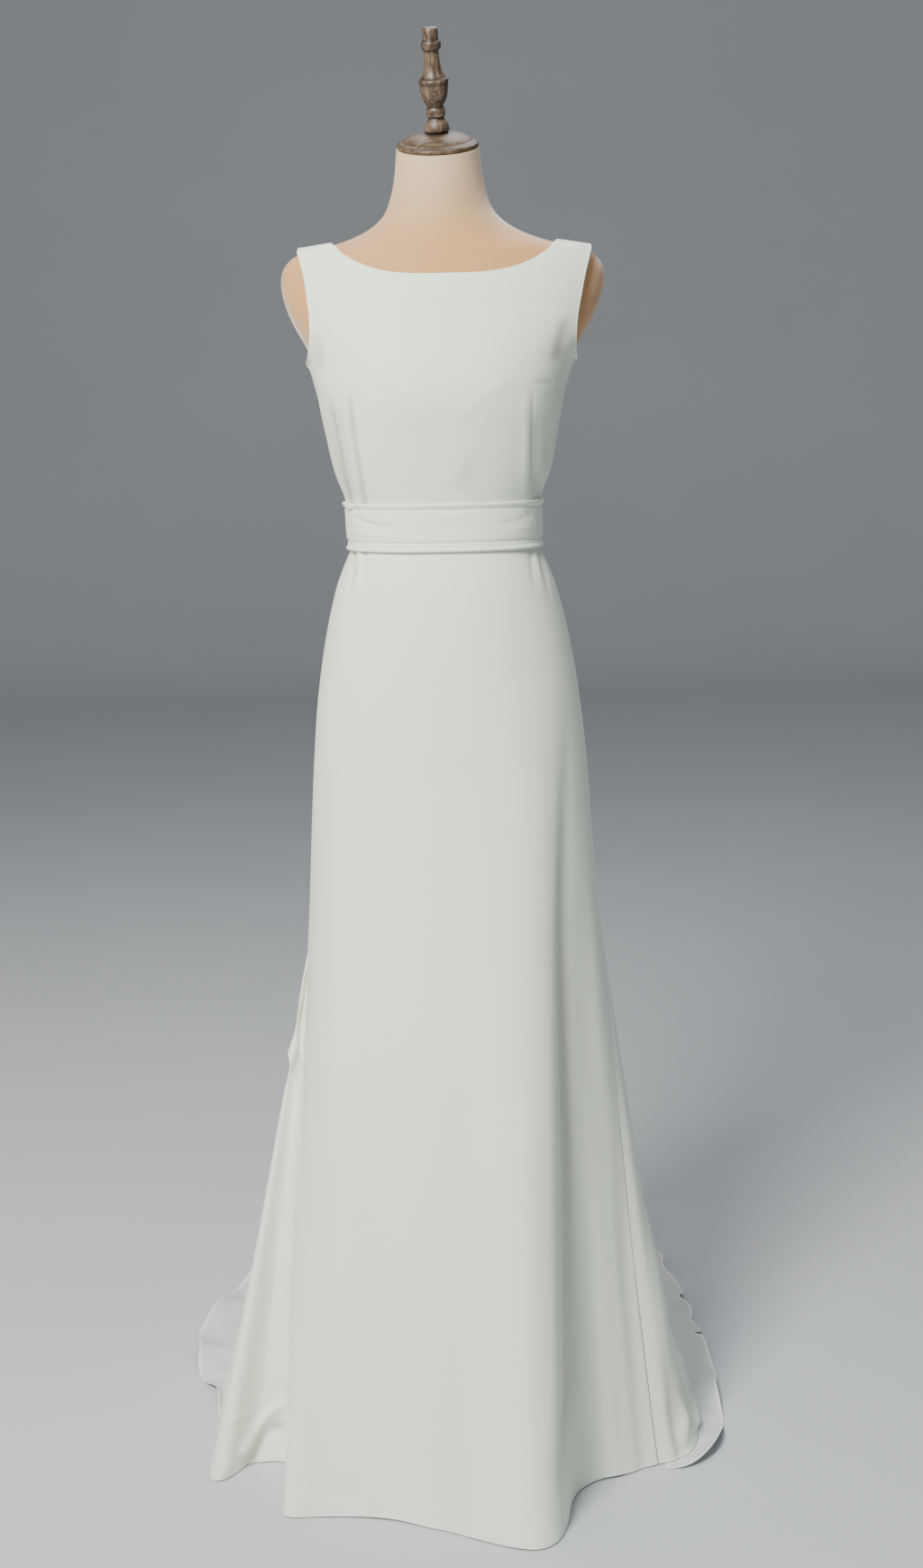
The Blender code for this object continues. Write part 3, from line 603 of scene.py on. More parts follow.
@dataclass(frozen=True)
class TurnedWoodFinish:
    """Beech turned on a lathe, stained brown and limed: grey rubs over brown, with the stain
    dark in the grooves, and rings left by the chisel."""

    name: str = "dark turned beech"
    stain: str = "#422E20"
    limed: str = "#806B55"
    groove: str = "#211711"
    grain_mm: float = 5.0
    grain_depth: float = 0.0005
    drawn_out: tuple[float, float, float] = (1.0, 1.0, 0.22)
    roughness: float = 0.48

    def material(self) -> bpy.types.Material:
        """Makes the wood's material, with its grain along the finial.

        Returns:
            The new material.
        """
        material, tree, shader = new_material(self.name)
        place = add_node(tree, "ShaderNodeTexCoord", {}).outputs["Object"]
        drawn_out = add_node(
            tree, "ShaderNodeMapping", {"Vector": place, "Scale": self.drawn_out},
        ).outputs["Vector"]
        grain = add_node(
            tree, "ShaderNodeTexNoise",
            {
                "Vector": drawn_out, "Scale": per_metre(self.grain_mm), "Detail": 6.0,
                "Roughness": 0.65, "Distortion": 0.6,
            },
        ).outputs["Fac"]
        rubbed = add_node(
            tree, "ShaderNodeMapRange", {"Value": grain, "From Min": 0.42, "From Max": 0.66},
        ).outputs["Result"]
        wood = add_node(
            tree, "ShaderNodeMix", {0: rubbed, 6: linear(self.stain), 7: linear(self.limed)},
            data_type="RGBA",
        ).outputs[2]
        worn = add_node(
            tree, "ShaderNodeAttribute", {}, attribute_name=GROOVE_LAYER,
        ).outputs["Fac"]
        colour = add_node(
            tree, "ShaderNodeMix", {0: worn, 6: wood, 7: linear(self.groove)}, data_type="RGBA",
        ).outputs[2]
        bump = add_node(
            tree, "ShaderNodeBump", {"Height": grain, "Strength": 0.4, "Distance": self.grain_depth}
        ).outputs["Normal"]
        feed(tree, shader, {"Base Color": colour, "Normal": bump, "Roughness": self.roughness})
        feed(tree, shader, {"Coat Weight": 0.15, "Coat Roughness": 0.35})
        return material


@dataclass(frozen=True)
class SteelFinish:
    """Mild steel, brushed and clear lacquered: fine streaks that break up a soft gloss."""

    name: str = "brushed steel"
    bright: str = "#C6C6C8"
    dull: str = "#9C9DA0"
    streak_mm: float = 3.0

    def material(self) -> bpy.types.Material:
        """Makes the steel's material.

        Returns:
            The new material.
        """
        material, tree, shader = new_material(self.name)
        place = add_node(tree, "ShaderNodeTexCoord", {}).outputs["Object"]
        long = add_node(
            tree, "ShaderNodeMapping", {"Vector": place, "Scale": (1.0, 0.06, 1.0)},
        ).outputs["Vector"]
        streaks = add_node(
            tree, "ShaderNodeTexNoise",
            {"Vector": long, "Scale": per_metre(self.streak_mm), "Detail": 4.0},
        ).outputs["Fac"]
        colour = add_node(
            tree, "ShaderNodeMix", {0: streaks, 6: linear(self.dull), 7: linear(self.bright)},
            data_type="RGBA",
        ).outputs[2]
        rough = add_node(
            tree, "ShaderNodeMapRange", {"Value": streaks, "To Min": 0.46, "To Max": 0.30},
        ).outputs["Result"]
        feed(tree, shader, {"Base Color": colour, "Roughness": rough, "Metallic": 1.0})
        return material


@dataclass(frozen=True)
class FloorFinish:
    """Painted studio board: an even pale grey with a faint cloudiness."""

    name: str = "pale studio board"
    pale: str = "#C9CCCF"
    cloud: str = "#C2C5C9"
    cloud_mm: float = 600.0

    def material(self) -> bpy.types.Material:
        """Makes the floor's material.

        Returns:
            The new material.
        """
        material, tree, shader = new_material(self.name)
        place = add_node(tree, "ShaderNodeTexCoord", {}).outputs["Object"]
        clouds = add_node(
            tree, "ShaderNodeTexNoise",
            {"Vector": place, "Scale": per_metre(self.cloud_mm), "Detail": 3.0},
        ).outputs["Fac"]
        colour = add_node(
            tree, "ShaderNodeMix", {0: clouds, 6: linear(self.pale), 7: linear(self.cloud)},
            data_type="RGBA",
        ).outputs[2]
        feed(tree, shader, {"Base Color": colour, "Roughness": 0.6})
        return material


@dataclass(frozen=True)
class Cut:
    """How a piece of cloth was cut and how it is held."""

    width: float
    length: float
    held: str
    rests_on: tuple[str, ...]
    area: float | None = None


def as_object(
    name: str, shape: bmesh.types.BMesh, material: bpy.types.Material
) -> bpy.types.Object:
    """A smooth object of this shape, at the origin, in its material.

    Args:
        name: the object's name.
        shape: its shape, which is used up.
        material: its finish.

    Returns:
        The new object.
    """
    mesh = bpy.data.meshes.new(name)
    shape.to_mesh(mesh)
    shape.free()
    mesh.shade_smooth()
    mesh.materials.append(material)
    made = bpy.data.objects.new(name, mesh)
    bpy.context.scene.collection.objects.link(made)
    return made


@dataclass
class ClothPiece:
    """One cut piece of crepe: a fine sheet with its own map in metres, its creases and the
    distance of each point from the sheet's edge."""

    name: str
    node: str
    points: Points
    cut: Cut
    creases: tuple[Crease, ...] = ()
    thickness: float = 1.5 * MM
    rounding: float = 0.3
    flipped: bool = False
    ripple: float = 0.5 * MM
    ripple_mm: float = 95.0
    held_by_seam: float = 6.0 * MM
    # How strong the painted shade grows in the creases' troughs, and how deep a trough is where it
    # is strongest
    fold_shade: float = 0.4
    deep: float = 6.0 * MM

    def build(self, material: bpy.types.Material) -> bpy.types.Object:
        """Args:
            material: the cloth's finish.

        Returns:
            The finished object.
        """
        shape = self.sheet()
        self.fold(shape)
        self.mark_edges(shape)
        swayed(shape)
        made = as_object(self.name, shape, material)
        wall = made.modifiers.new("Thickness", "SOLIDIFY")
        wall.thickness = self.thickness
        wall.offset = -1
        soft = made.modifiers.new("Soft edge", "BEVEL")
        soft.width = self.rounding * self.thickness
        soft.segments = 2
        soft.limit_method = "ANGLE"
        soft.angle_limit = math.radians(60)
        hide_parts(self.node)
        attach(made, "root")
        log.info("%s: %d x %d threads", self.name, len(self.points), len(self.points[0]))
        return made

    def sheet(self) -> bmesh.types.BMesh:
        """The bare sheet, its corners without a point cut away, with its map.

        Returns:
            The sheet before its creases.
        """
        columns, rows = len(self.points), max(len(column) for column in self.points)
        shape = bmesh.new()
        bmesh.ops.create_grid(shape, x_segments=columns - 1, y_segments=rows - 1, size=1.0)
        layer = shape.loops.layers.uv.new(CLOTH_MAP)
        near_seam = shape.verts.layers.float.new(SEAM_LAYER)
        spare, spots = [], {}
        heights = [way_along([point for point in column if point]) for column in self.points]
        across = way_along([column[0] for column in self.points])
        for vert in shape.verts:
            i = round((vert.co.x + 1) / 2 * (columns - 1))
            j = round((vert.co.y + 1) / 2 * (rows - 1))
            if j >= len(self.points[i]) or self.points[i][j] is None:
                spare.append(vert)
                continue
            vert.co = self.points[i][j]
            spots[vert] = (across[i], heights[i][j])
            seam = 0 if i < columns / 2 else -1
            if self.points[seam][j : j + 1] and self.points[seam][j]:
                vert[near_seam] = (self.points[i][j] - self.points[seam][j]).length
        bmesh.ops.delete(shape, geom=spare, context="VERTS")
        for face in shape.faces:
            for loop in face.loops:
                loop[layer].uv = spots[loop.vert]
        if self.flipped:
            bmesh.ops.reverse_faces(shape, faces=shape.faces)
        shape.normal_update()
        return shape

    def fold(self, shape: bmesh.types.BMesh) -> None:
        """Moves the sheet's points out and in by its creases and a faint ripple, and keeps how
        deep each point lies in a trough as the strength of its painted shade.

        Args:
            shape: the bare sheet.
        """
        places = np.array([vert.co[:] for vert in shape.verts])
        offsets = np.zeros(len(places))
        for crease in self.creases:
            offsets += crease.offsets(places)
        scale = per_metre(self.ripple_mm)
        lowest = float(places[:, 2].min())
        painted_fold_shade = shape.verts.layers.float.new(FOLD_SHADE_LAYER)
        near_seam = shape.verts.layers.float[SEAM_LAYER]
        for vert, offset in zip(list(shape.verts), offsets):
            ripple = self.ripple * noise.noise(vert.co * scale)
            free = smooth(min(vert[near_seam] / self.held_by_seam, 1.0))
            vert.co += vert.normal * (float(offset) + ripple) * free
            vert.co.z = max(vert.co.z, lowest)
            # Painted shade: the deeper in a trough, the more of the crepe's shade colour
            vert[painted_fold_shade] = self.fold_shade * clamped(-float(offset) / self.deep)
        shape.verts.layers.float.remove(near_seam)
        shape.normal_update()

    def mark_edges(self, shape: bmesh.types.BMesh) -> None:
        """Keeps each point's distance from the sheet's nearest edge as an attribute.

        Args:
            shape: the sheet, moved by its creases.
        """
        layer = shape.verts.layers.float.new(EDGE_LAYER)
        rim = KDTree(sum(vert.is_boundary for vert in shape.verts))
        for vert in shape.verts:
            if vert.is_boundary:
                rim.insert(vert.co, vert.index)
        rim.balance()
        for vert in shape.verts:
            vert[layer] = rim.find(vert.co)[2]


def mirrored(creases: Sequence[Crease]) -> tuple[Crease, ...]:
    """The same creases on the other side of the gown.

    Args:
        creases: the creases of one side.

    Returns:
        The creases of the other side.
    """
    made = []
    for crease in creases:
        line = tuple((-across, along) for across, along in crease.line)
        made.append(replace(crease, line=line))
    return tuple(made)


@dataclass
class Bodice:
    """The sleeveless bodice: a boat-necked front with two waist darts, and two backs."""

    bottom: float = 1105.0 * MM
    strap_start: float = 1424.5 * MM
    front_neck: float = 1396.5 * MM
    back_neck: float = 1352.0 * MM
    neck_power: float = 3.3
    back_neck_power: float = 2.4
    armpit: float = 1303.0 * MM
    armhole_ease: float = 4.2 * MM
    ease_height: float = 40.0 * MM
    strap_level: float = 1400.0 * MM
    straps_aside: float = 2.5 * MM
    clear_of_form: float = 1.8 * MM
    crepe: float = 1.5 * MM
    seam_gap: float = 0.8 * MM
    dart_column: float = 0.56
    dart_rise: float = 4.5 * MM
    # Beyond the wearer's right and left dart: how far the cloth stays raised, and is level
    puffs: tuple[Row, Row] = ((0.18, 0.55), (0.05, 0.45))
    dart_top: float = 1272.0 * MM
    dart_foot: float = 1146.0 * MM
    middle_share: float = 0.55
    inner_columns: int = 62
    outer_columns: int = 52
    rows: int = 132
    strap_rows: int = 12
    halvings: int = 40
    path_steps: int = 80
    # How much closer the columns lie beside the dart, towards the middle and the side
    crowding: tuple[float, float] = (1.4, 1.3)
    # Where a back's first column lies, a hair beside the zip
    zip_edge: float = 0.0009
    front_creases: tuple[Crease, ...] = (
        # The wearer's right dart, whose fold puffs out beside its seam, its troughs darkened by
        # painted shade
        Crease(((-103.5, 1276), (-98.5, 1215), (-89.5, 1143)), -1.9, 3.0, fades=(0.2, 0.0)),
        Crease(((-111, 1272), (-106, 1220), (-97, 1143)), 0.4, 4.0, fades=(0.3, 0.2)),
        Crease(((-119, 1272), (-113, 1212), (-102, 1143)), -1.1, 11.0, fades=(0.25, 0.1)),
        Crease(((-128, 1273), (-119, 1215), (-107.5, 1143)), -1.6, 2.8, fades=(0.3, 0.0)),
        # The wearer's left dart, a soft step with its shade beyond it, partly real and partly
        # painted in its troughs
        Crease(((95, 1276), (94, 1215), (94, 1143)), 0.7, 5.0, fades=(0.2, 0.0)),
        Crease(((103, 1276), (102.5, 1215), (102, 1150)), -0.6, 2.6, fades=(0.2, 0.3)),
        Crease(((108, 1262), (107, 1200), (106, 1143)), -1.4, 6.0, fades=(0.4, 0.1)),
        Crease(((131, 1276), (126, 1225), (117, 1155)), 1.6, 8.0, fades=(0.3, 0.2)),
        Crease(((104, 1277), (128, 1275)), -0.7, 2.4),
        # Soft drags over the bust and by the armholes
        Crease(((12, 1236), (48, 1264), (80, 1284)), 0.9, 9.0),
        Crease(((-24, 1268), (-62, 1258), (-92, 1262)), 0.7, 9.0),
        Crease(((143, 1352), (134, 1318), (131, 1292)), -1.6, 8.0),
        Crease(((-144, 1340), (-138, 1308), (-136, 1288)), -1.2, 6.0),
        Crease(((20, 1152), (34, 1185), (40, 1215)), -0.7, 10.0, fades=(0.1, 0.6)),
    )
    back_creases: tuple[Crease, ...] = (
        Crease(((62, 1143), (64, 1200), (60, 1262)), -1.4, 2.4, fades=(0.0, 0.3)),
        Crease(((69, 1143), (71, 1200), (66, 1255)), 1.3, 5.0, fades=(0.0, 0.4)),
        Crease(((96, 1143), (104, 1190), (108, 1235)), -0.9, 6.0, fades=(0.0, 0.5)),
        Crease(((14, 1148), (34, 1172), (46, 1206)), 0.8, 7.0, fades=(0.0, 0.6)),
        Crease(((128, 1330), (118, 1290), (112, 1262)), -1.0, 8.0),
    )

    def half_width(self, height: float, side: int) -> float:
        """How far the panel reaches from the middle: its side seam, then its armhole.

        Args:
            height: the height, in metres.
            side: -1 for the front, 1 for the back.

        Returns:
            The distance in metres.
        """
        if height <= self.armpit:
            return BODY.sections.at(height / MM)[0] * MM
        return ARMHOLES.at(height / MM)[0 if side < 0 else 1] * MM

    def column_x(self, column: float, height: float, side: int) -> float:
        """How far from the middle a column lies at this height.

        Args:
            column: the column's place, from -1 to 1.
            height: the height, in metres.
            side: -1 for the front, 1 for the back.

        Returns:
            The distance in metres, negative on the wearer's right.
        """
        dart = math.asin(DART_LINE.at(height / MM)[1 if column > 0 else 0])
        if abs(column) <= self.dart_column:
            angle = column / self.dart_column * dart
        else:
            beyond = (abs(column) - self.dart_column) / (1 - self.dart_column)
            angle = math.copysign(dart + beyond * (math.pi / 2 - dart), column)
        return self.half_width(height, side) * math.sin(angle)

    def aside(self, height: float) -> float:
        """How far the bodice sits towards the wearer's left here, most on the straps."""
        up = clamped((height - self.armpit) / (self.strap_level - self.armpit))
        return self.straps_aside * up

    def neckline(self, x: float, side: int) -> float:
        """The height of the neckline at this distance from the middle.

        Args:
            x: the distance from the middle, in metres.
            side: -1 for the front, 1 for the back.

        Returns:
            The height in metres.
        """
        bottom, power = self.front_neck, self.neck_power
        if side > 0:
            bottom, power = self.back_neck, self.back_neck_power
        corner = self.column_x(self.dart_column, self.strap_start, side)
        return bottom + (self.strap_start - bottom) * (abs(x) / corner) ** power

    def top(self, column: float, side: int) -> float:
        """The height where a column meets the neckline, or the shoulder seam on the strap.

        Args:
            column: the column's place, from -1 to 1.
            side: -1 for the front, 1 for the back.

        Returns:
            The height in metres.
        """
        on_neckline = abs(column) < self.dart_column
        low, high = self.strap_start, BODY.sections.rows[-1][0] * MM
        if on_neckline:
            low, high = self.back_neck if side > 0 else self.front_neck, self.strap_start
        for _ in range(self.halvings):
            middle = (low + high) / 2
            x = self.column_x(column, middle, side)
            if on_neckline:
                below = middle < self.neckline(x, side)
            else:
                x += self.aside(middle)
                below = BODY.sections.at(middle / MM)[0] * MM > abs(x)
            low, high = (middle, high) if below else (low, middle)
        return low

    def stand_off(self, column: float, height: float, side: int) -> float:
        """How far the outer face stands off the form: more by the armhole and the darts.

        Args:
            column: the column's place, from -1 to 1.
            height: the height, in metres.
            side: -1 for the front, 1 for the back.

        Returns:
            The distance in metres.
        """
        up = clamped((height - self.armpit) / self.ease_height + 1.0)
        off = self.clear_of_form + self.crepe
        off += self.armhole_ease * up * max(0.0, (abs(column) - 0.5) / 0.5)
        if side < 0 and self.dart_foot < height < self.dart_top:
            share = (height - self.dart_foot) / (self.dart_top - self.dart_foot)
            inside = abs(column) / self.dart_column
            if inside <= 1:
                across = self.middle_share + (1 - self.middle_share) * inside**3
            else:
                beyond = (abs(column) - self.dart_column) / (1 - self.dart_column)
                held, level = self.puffs[1 if column > 0 else 0]
                fall = clamped((beyond - held) / (level - held))
                across = 0.5 + 0.5 * math.cos(math.pi * fall)
            off += self.dart_rise * math.sin(math.pi * share**0.8) * across
        return off

    def point(self, column: float, height: float, side: int) -> Vector:
        """A point of the outer face. column runs from -1 to 1, from side to side.

        Args:
            column: the column's place, from -1 to 1.
            height: the height, in metres.
            side: -1 for the front, 1 for the back.

        Returns:
            The point, in metres.
        """
        x = self.column_x(column, height, side) + self.aside(height)
        point = BODY.face(x, height, side)
        point += BODY.outward(point) * self.stand_off(column, height, side)
        point.y += side * self.seam_gap / 2
        return point

    def shares(self) -> list[float]:
        """Shares of a way, from its start to its end."""
        return [step / self.path_steps for step in range(self.path_steps + 1)]

    def path(self, column: float, side: int, bottom: float, top: float) -> list[Vector]:
        """Close points up a column, closest near its top."""
        heights = [top - (top - bottom) * (1.0 - share) ** 2 for share in self.shares()]
        return [self.point(column, height, side) for height in heights]

    def column(self, column: float, side: int) -> list[Vector]:
        """The points of a column, from the waist to the neckline or over the strap.

        Args:
            column: the column's place across the panel.
            side: -1 on the front, 1 on the back.

        Returns:
            Its points, from the bottom up.
        """
        top = self.top(column, side)
        way = self.path(column, side, self.bottom, min(top, self.strap_start))
        points = points_along(way, spread(0.0, way_along(way)[-1], self.rows))
        if abs(column) >= self.dart_column:
            strap = self.path(column, side, self.strap_start, top)
            points += points_along(strap, spread(0.0, way_along(strap)[-1], self.strap_rows))[1:]
        return points

    def build(self, crepe: bpy.types.Material) -> None:
        """Makes the front and the two backs.

        Args:
            crepe: the cloth's finish.
        """
        # Closest beside the dart, so that its line stays sharp
        dart, inner, outer = self.dart_column, self.inner_columns, self.outer_columns
        half = [dart * (1 - (1 - share) ** self.crowding[0]) for share in spread(0.0, 1.0, inner)]
        half += [
            dart + (1 - dart) * share ** self.crowding[1] for share in spread(0.0, 1.0, outer)[1:]
        ]
        whole = [-column for column in reversed(half[1:])] + half
        # Its darts' troughs take a stronger painted shade than the other pieces
        ClothPiece(
            "front_bodice_cloth", "bodice_front", [self.column(column, -1) for column in whole],
            Cut(0.40, 0.34, "stretched", ("form_torso",), 0.124), self.front_creases,
            ripple=0.35 * MM, fold_shade=1.0, deep=2.8 * MM,
        ).build(crepe)
        half[0] = self.zip_edge
        for side, name in ((1, "left"), (-1, "right")):
            creases = self.back_creases if side > 0 else mirrored(self.back_creases)
            ClothPiece(
                f"{name}_back_bodice_cloth", f"bodice_back_{name}",
                [self.column(side * column, 1) for column in half],
                Cut(0.20, 0.34, "stretched", ("form_torso",), 0.054), creases, flipped=side > 0,
                ripple=0.35 * MM,
            ).build(crepe)


@dataclass
class WaistBelt:
    """The belt: one band with a rolled upper edge and a tuck, which laps at the back."""

    thickness: float = 2.0 * MM
    clear: float = 4.5 * MM
    lap: float = 26.0
    columns: int = 260
    rows: int = 80
    # The outer face at each height: how far it stands out from the thinnest place
    profile: Readings = Readings((
        (1089.5, 0.5), (1090.3, 1.5), (1091.6, 1.9), (1093.0, 1.2), (1094.6, 0.5),
        (1097.0, 0.4), (1098.4, 0.0), (1099.2, -0.5), (1100.2, 0.0), (1101.4, 1.0),
        (1104.0, 1.7), (1112.0, 1.9), (1122.0, 1.5), (1131.0, 0.9), (1135.0, 0.4),
        (1136.6, -0.2), (1138.0, 0.1), (1139.6, 1.1), (1141.6, 1.7), (1143.4, 1.4),
        (1144.5, 0.6),
    ))
    roll_start: float = 1134.0 * MM
    roll_height: float = 5.0 * MM
    roll_change: float = 0.9 * MM
    roll_period: float = 11.0
    lap_clear: float = 1.8 * MM
    creases: tuple[Crease, ...] = (
        Crease(((60, 1119), (84, 1122), (100, 1129)), -0.6, 3.0),
        Crease(((66, 1110), (86, 1112), (104, 1116)), 0.5, 4.0),
        Crease(((97, 1134), (101, 1122)), -0.7, 2.4),
        Crease(((-110, 1130), (-84, 1121), (-54, 1117)), -1.5, 2.6),
        Crease(((-110, 1114), (-80, 1109), (-60, 1108)), 1.0, 3.0),
        # The crumpled end of the roll at the wearer's right
        Crease(((-112, 1144), (-107, 1136)), 2.4, 2.4, fades=(0.0, 0.3)),
        Crease(((-104, 1145), (-101, 1135)), -1.6, 1.8, fades=(0.0, 0.3)),
        Crease(((-20, 1128), (30, 1130)), 0.5, 3.5),
    )

    def point(self, turn: float, height: float) -> Vector:
        """A point of the outer face. Its last part laps over its first at the back.

        Args:
            turn: degrees round from the front middle.
            height: the height, in metres.

        Returns:
            The point, in metres.
        """
        proud = self.profile.at(height / MM)[0] * MM + self.clear + self.thickness
        rolled = clamped((height - self.roll_start) / self.roll_height)
        rough = noise.noise(Vector((turn / self.roll_period, 3.0, 0.0)))
        proud += rolled * self.roll_change * rough
        lap = clamped((turn - (FULL_TURN / 2 - 2 * self.lap)) / self.lap)
        proud += lap * (self.thickness + self.lap_clear)
        point = BODY.ring(height, turn)
        outward = BODY.outward(point)
        outward.z = 0.0
        return point + outward.normalized() * proud

    def build(self, crepe: bpy.types.Material) -> None:
        """Makes the band.

        Args:
            crepe: the cloth's finish.
        """
        low, high = self.profile.rows[0][0] * MM, self.profile.rows[-1][0] * MM
        heights = spread(low, high, self.rows)
        turns = spread(-FULL_TURN / 2, FULL_TURN / 2 + self.lap / 2, self.columns)
        ClothPiece(
            "waist_belt_cloth", "waist_belt",
            [[self.point(turn, height) for height in heights] for turn in turns],
            Cut(0.68, 0.055, "stretched", ("bodice_front", "skirt_front")), self.creases,
            thickness=self.thickness, ripple=0.3 * MM, ripple_mm=60.0,
        ).build(crepe)


@dataclass
class Skirt:
    """The long skirt: a front, and two backs that run out on the floor as a train."""

    top: float = 1104.2 * MM
    hem_height: float = 1.6 * MM
    crepe: float = 1.5 * MM
    fold_power: float = 1.1
    bend: float = 110.0 * MM
    lying_start: float = 170.0 * MM
    first_drop: float = 64.0 * MM
    seam_gap: float = 0.3 * MM
    top_rows: int = 12
    rows_between: int = 9
    path_steps: int = 140
    bend_steps: int = 16
    # Threads in the front, the left back and the right back
    threads: tuple[int, int, int] = (190, 150, 170)
    # Between these turns, behind the front's edge, the cloth goes back only near the floor
    flat_turns: tuple[float, float] = (-117.0, -90.0)
    flat_by: float = 30.0 * MM
    # Small gathers under the belt, and the long folds
    gathers: tuple[Crease, ...] = (
        Crease(((99, 1092), (100, 1062), (103, 1032)), -1.3, 2.8, fades=(0.0, 0.6)),
        Crease(((103, 1092), (108, 1064), (114, 1030)), 0.8, 3.0, fades=(0.0, 0.6)),
        Crease(((107, 1092), (114, 1062), (123, 1020)), -1.4, 2.6, fades=(0.0, 0.6)),
    )
    right_gathers: tuple[Crease, ...] = (
        Crease(((-93, 1092), (-94, 1066), (-97, 1036)), -2.6, 2.4, fades=(0.0, 0.6)),
        Crease(((-99, 1092), (-101, 1062), (-105, 1030)), 2.0, 3.0, fades=(0.0, 0.6)),
        Crease(((-106, 1092), (-109, 1062), (-115, 1024)), -3.2, 2.6, fades=(0.0, 0.6)),
    )
    front_creases: tuple[Crease, ...] = (
        # The deep fold down the front, and the ridge in the light beside it
        Crease(
            ((139, 944), (133, 795), (127, 642), (128, 373), (123, 130), (108, 27)), -7.0, 8.0,
            fades=(0.5, 0.1),
        ),
        Crease(((118, 760), (110, 500), (108, 260), (98, 60)), 2.0, 10.0, fades=(0.4, 0.1)),
        Crease(((151, 560), (160, 330), (172, 90), (178, 4)), 3.5, 13.0, fades=(0.5, 0.0)),
        Crease(((186, 420), (199, 210), (214, 4)), -2.5, 9.0, fades=(0.5, 0.0)),
        Crease(((-60, 520), (-78, 260), (-92, 4)), 2.4, 30.0, fades=(0.5, 0.0)),
        Crease(((0, 620), (-8, 300), (-14, 4)), -2.0, 26.0, fades=(0.5, 0.0)),
        Crease(((-150, 560), (-163, 300), (-176, 4)), -2.0, 16.0, fades=(0.5, 0.0)),
        Crease(((70, 640), (66, 330), (60, 4)), 1.6, 20.0, fades=(0.5, 0.0)),
        Crease(((-40, 830), (20, 842), (64, 818)), -0.7, 16.0),
        # The turned-up hem's soft puckers at the wearer's right
        Crease(((-196, 30), (-170, 14), (-140, 10)), 1.2, 6.0),
        Crease(((-120, 16), (-90, 9), (-60, 12)), -1.0, 5.0),
    )
    right_creases: tuple[Crease, ...] = (
        # The cloth behind the front's edge, whose narrow trough holds a painted shade line beside
        # the seam
        Crease(
            ((-182, 600), (-192, 400), (-202, 200), (-212, 20)), -6.0, 3.6, fades=(0.2, 0.1)
        ),
        # The knot of cloth where the flare begins, at the knee
        Crease(((-176, 498), (-200, 484)), 4.5, 9.0, fades=(0.3, 0.0)),
        Crease(((-178, 468), (-202, 462)), -2.4, 9.0, fades=(0.4, 0.0)),
        # Broken folds where the side panel meets the floor
        Crease(((-212, 76), (-239, 57), (-271, 16)), 5.0, 6.0, fades=(0.15, 0.15)),
        Crease(((-214, 46), (-240, 34), (-258, 6)), -6.0, 9.0, fades=(0.2, 0.0)),
        Crease(((-296, 60), (-272, 70), (-246, 64)), 1.6, 4.0, fades=(0.2, 0.5)),
        Crease(((-284, 14), (-276, 66), (-264, 150)), 2.5, 9.0, fades=(0.0, 0.5)),
    )
    left_creases: tuple[Crease, ...] = (
        Crease(((262, 8), (252, 60), (238, 170)), -4.0, 8.0, fades=(0.0, 0.5)),
        Crease(((278, 8), (270, 50), (262, 110)), 3.0, 7.0, fades=(0.0, 0.5)),
        Crease(((236, 330), (244, 180), (250, 40)), 2.5, 9.0, fades=(0.4, 0.2)),
        Crease(((212, 520), (226, 330), (236, 180)), -2.0, 9.0, fades=(0.4, 0.4)),
        # Wrinkles beside the ruffle's seam, where the cloth comes down on the floor
        Crease(((281, -8), (287, -50), (282, -96)), 9.0, 4.5, Drawn.FLOOR),
        Crease(((272, -104), (266, -132), (258, -142)), 5.0, 4.0, Drawn.FLOOR),
        Crease(((270, 60), (280, 14), (284, -20)), 4.0, 5.0, Drawn.FLOOR),
        Crease(((276, 20), (272, 50), (262, 86)), -4.0, 4.0, fades=(0.1, 0.4)),
    )
    # The folds of each back half, from the seat down, and those that run out on the train
    hanging_creases: tuple[Crease, ...] = (
        Crease(((26, 760), (36, 420), (44, 60)), 6.0, 15.0, fades=(0.6, 0.15)),
        Crease(((64, 700), (86, 380), (104, 60)), -6.0, 17.0, fades=(0.5, 0.15)),
        Crease(((104, 660), (132, 360), (156, 70)), 6.5, 17.0, fades=(0.5, 0.15)),
        Crease(((140, 640), (170, 360), (196, 120)), -4.0, 14.0, fades=(0.5, 0.2)),
    )
    train_creases: tuple[Crease, ...] = (
        Crease(((34, 330), (46, 450), (40, 640)), 7.0, 15.0, Drawn.FLOOR, (0.3, 0.3)),
        Crease(((92, 322), (122, 440), (138, 580)), 5.0, 13.0, Drawn.FLOOR, (0.3, 0.4)),
        Crease(((152, 290), (190, 390), (214, 470)), 8.0, 14.0, Drawn.FLOOR, (0.3, 0.3)),
        Crease(((214, 214), (238, 270), (262, 300)), 6.0, 11.0, Drawn.FLOOR, (0.3, 0.3)),
        Crease(((252, 90), (268, 130), (284, 150)), 5.0, 9.0, Drawn.FLOOR, (0.3, 0.3)),
        Crease(((70, 470), (116, 492), (168, 478)), 3.0, 12.0, Drawn.FLOOR, (0.4, 0.4)),
    )

    def edge(self, turn: float) -> Vector:
        """The edge of the train at this turn, on the floor."""
        hem = HEM.at(turn)
        return Vector((hem[2] * MM, hem[3] * MM, 0.0))

    def hang(self, turn: float, hem: Row, floor: Vector, height: float) -> Vector:
        """A point of the hanging skirt, before it bends on to the floor.

        Args:
            turn: degrees round from the front middle.
            hem: the hem's row at this turn.
            floor: where the bare shape meets the floor.
            height: the height, in metres.

        Returns:
            The point, in metres.
        """
        point = SKIRT.ring(height, turn)
        fold = max(0.0, 1.0 - height / (hem[4] * MM)) ** self.fold_power
        point.x += fold * (hem[0] * MM - floor.x)
        point.y += fold * (hem[1] * MM - floor.y)
        low, high = self.flat_turns
        share = height / (hem[4] * MM)
        if low < turn < high and share < 1.0:
            across = math.sin(math.pi * (turn - low) / (high - low)) ** 2
            point.y -= self.flat_by * across * 4 * share * (1 - share)
        return point

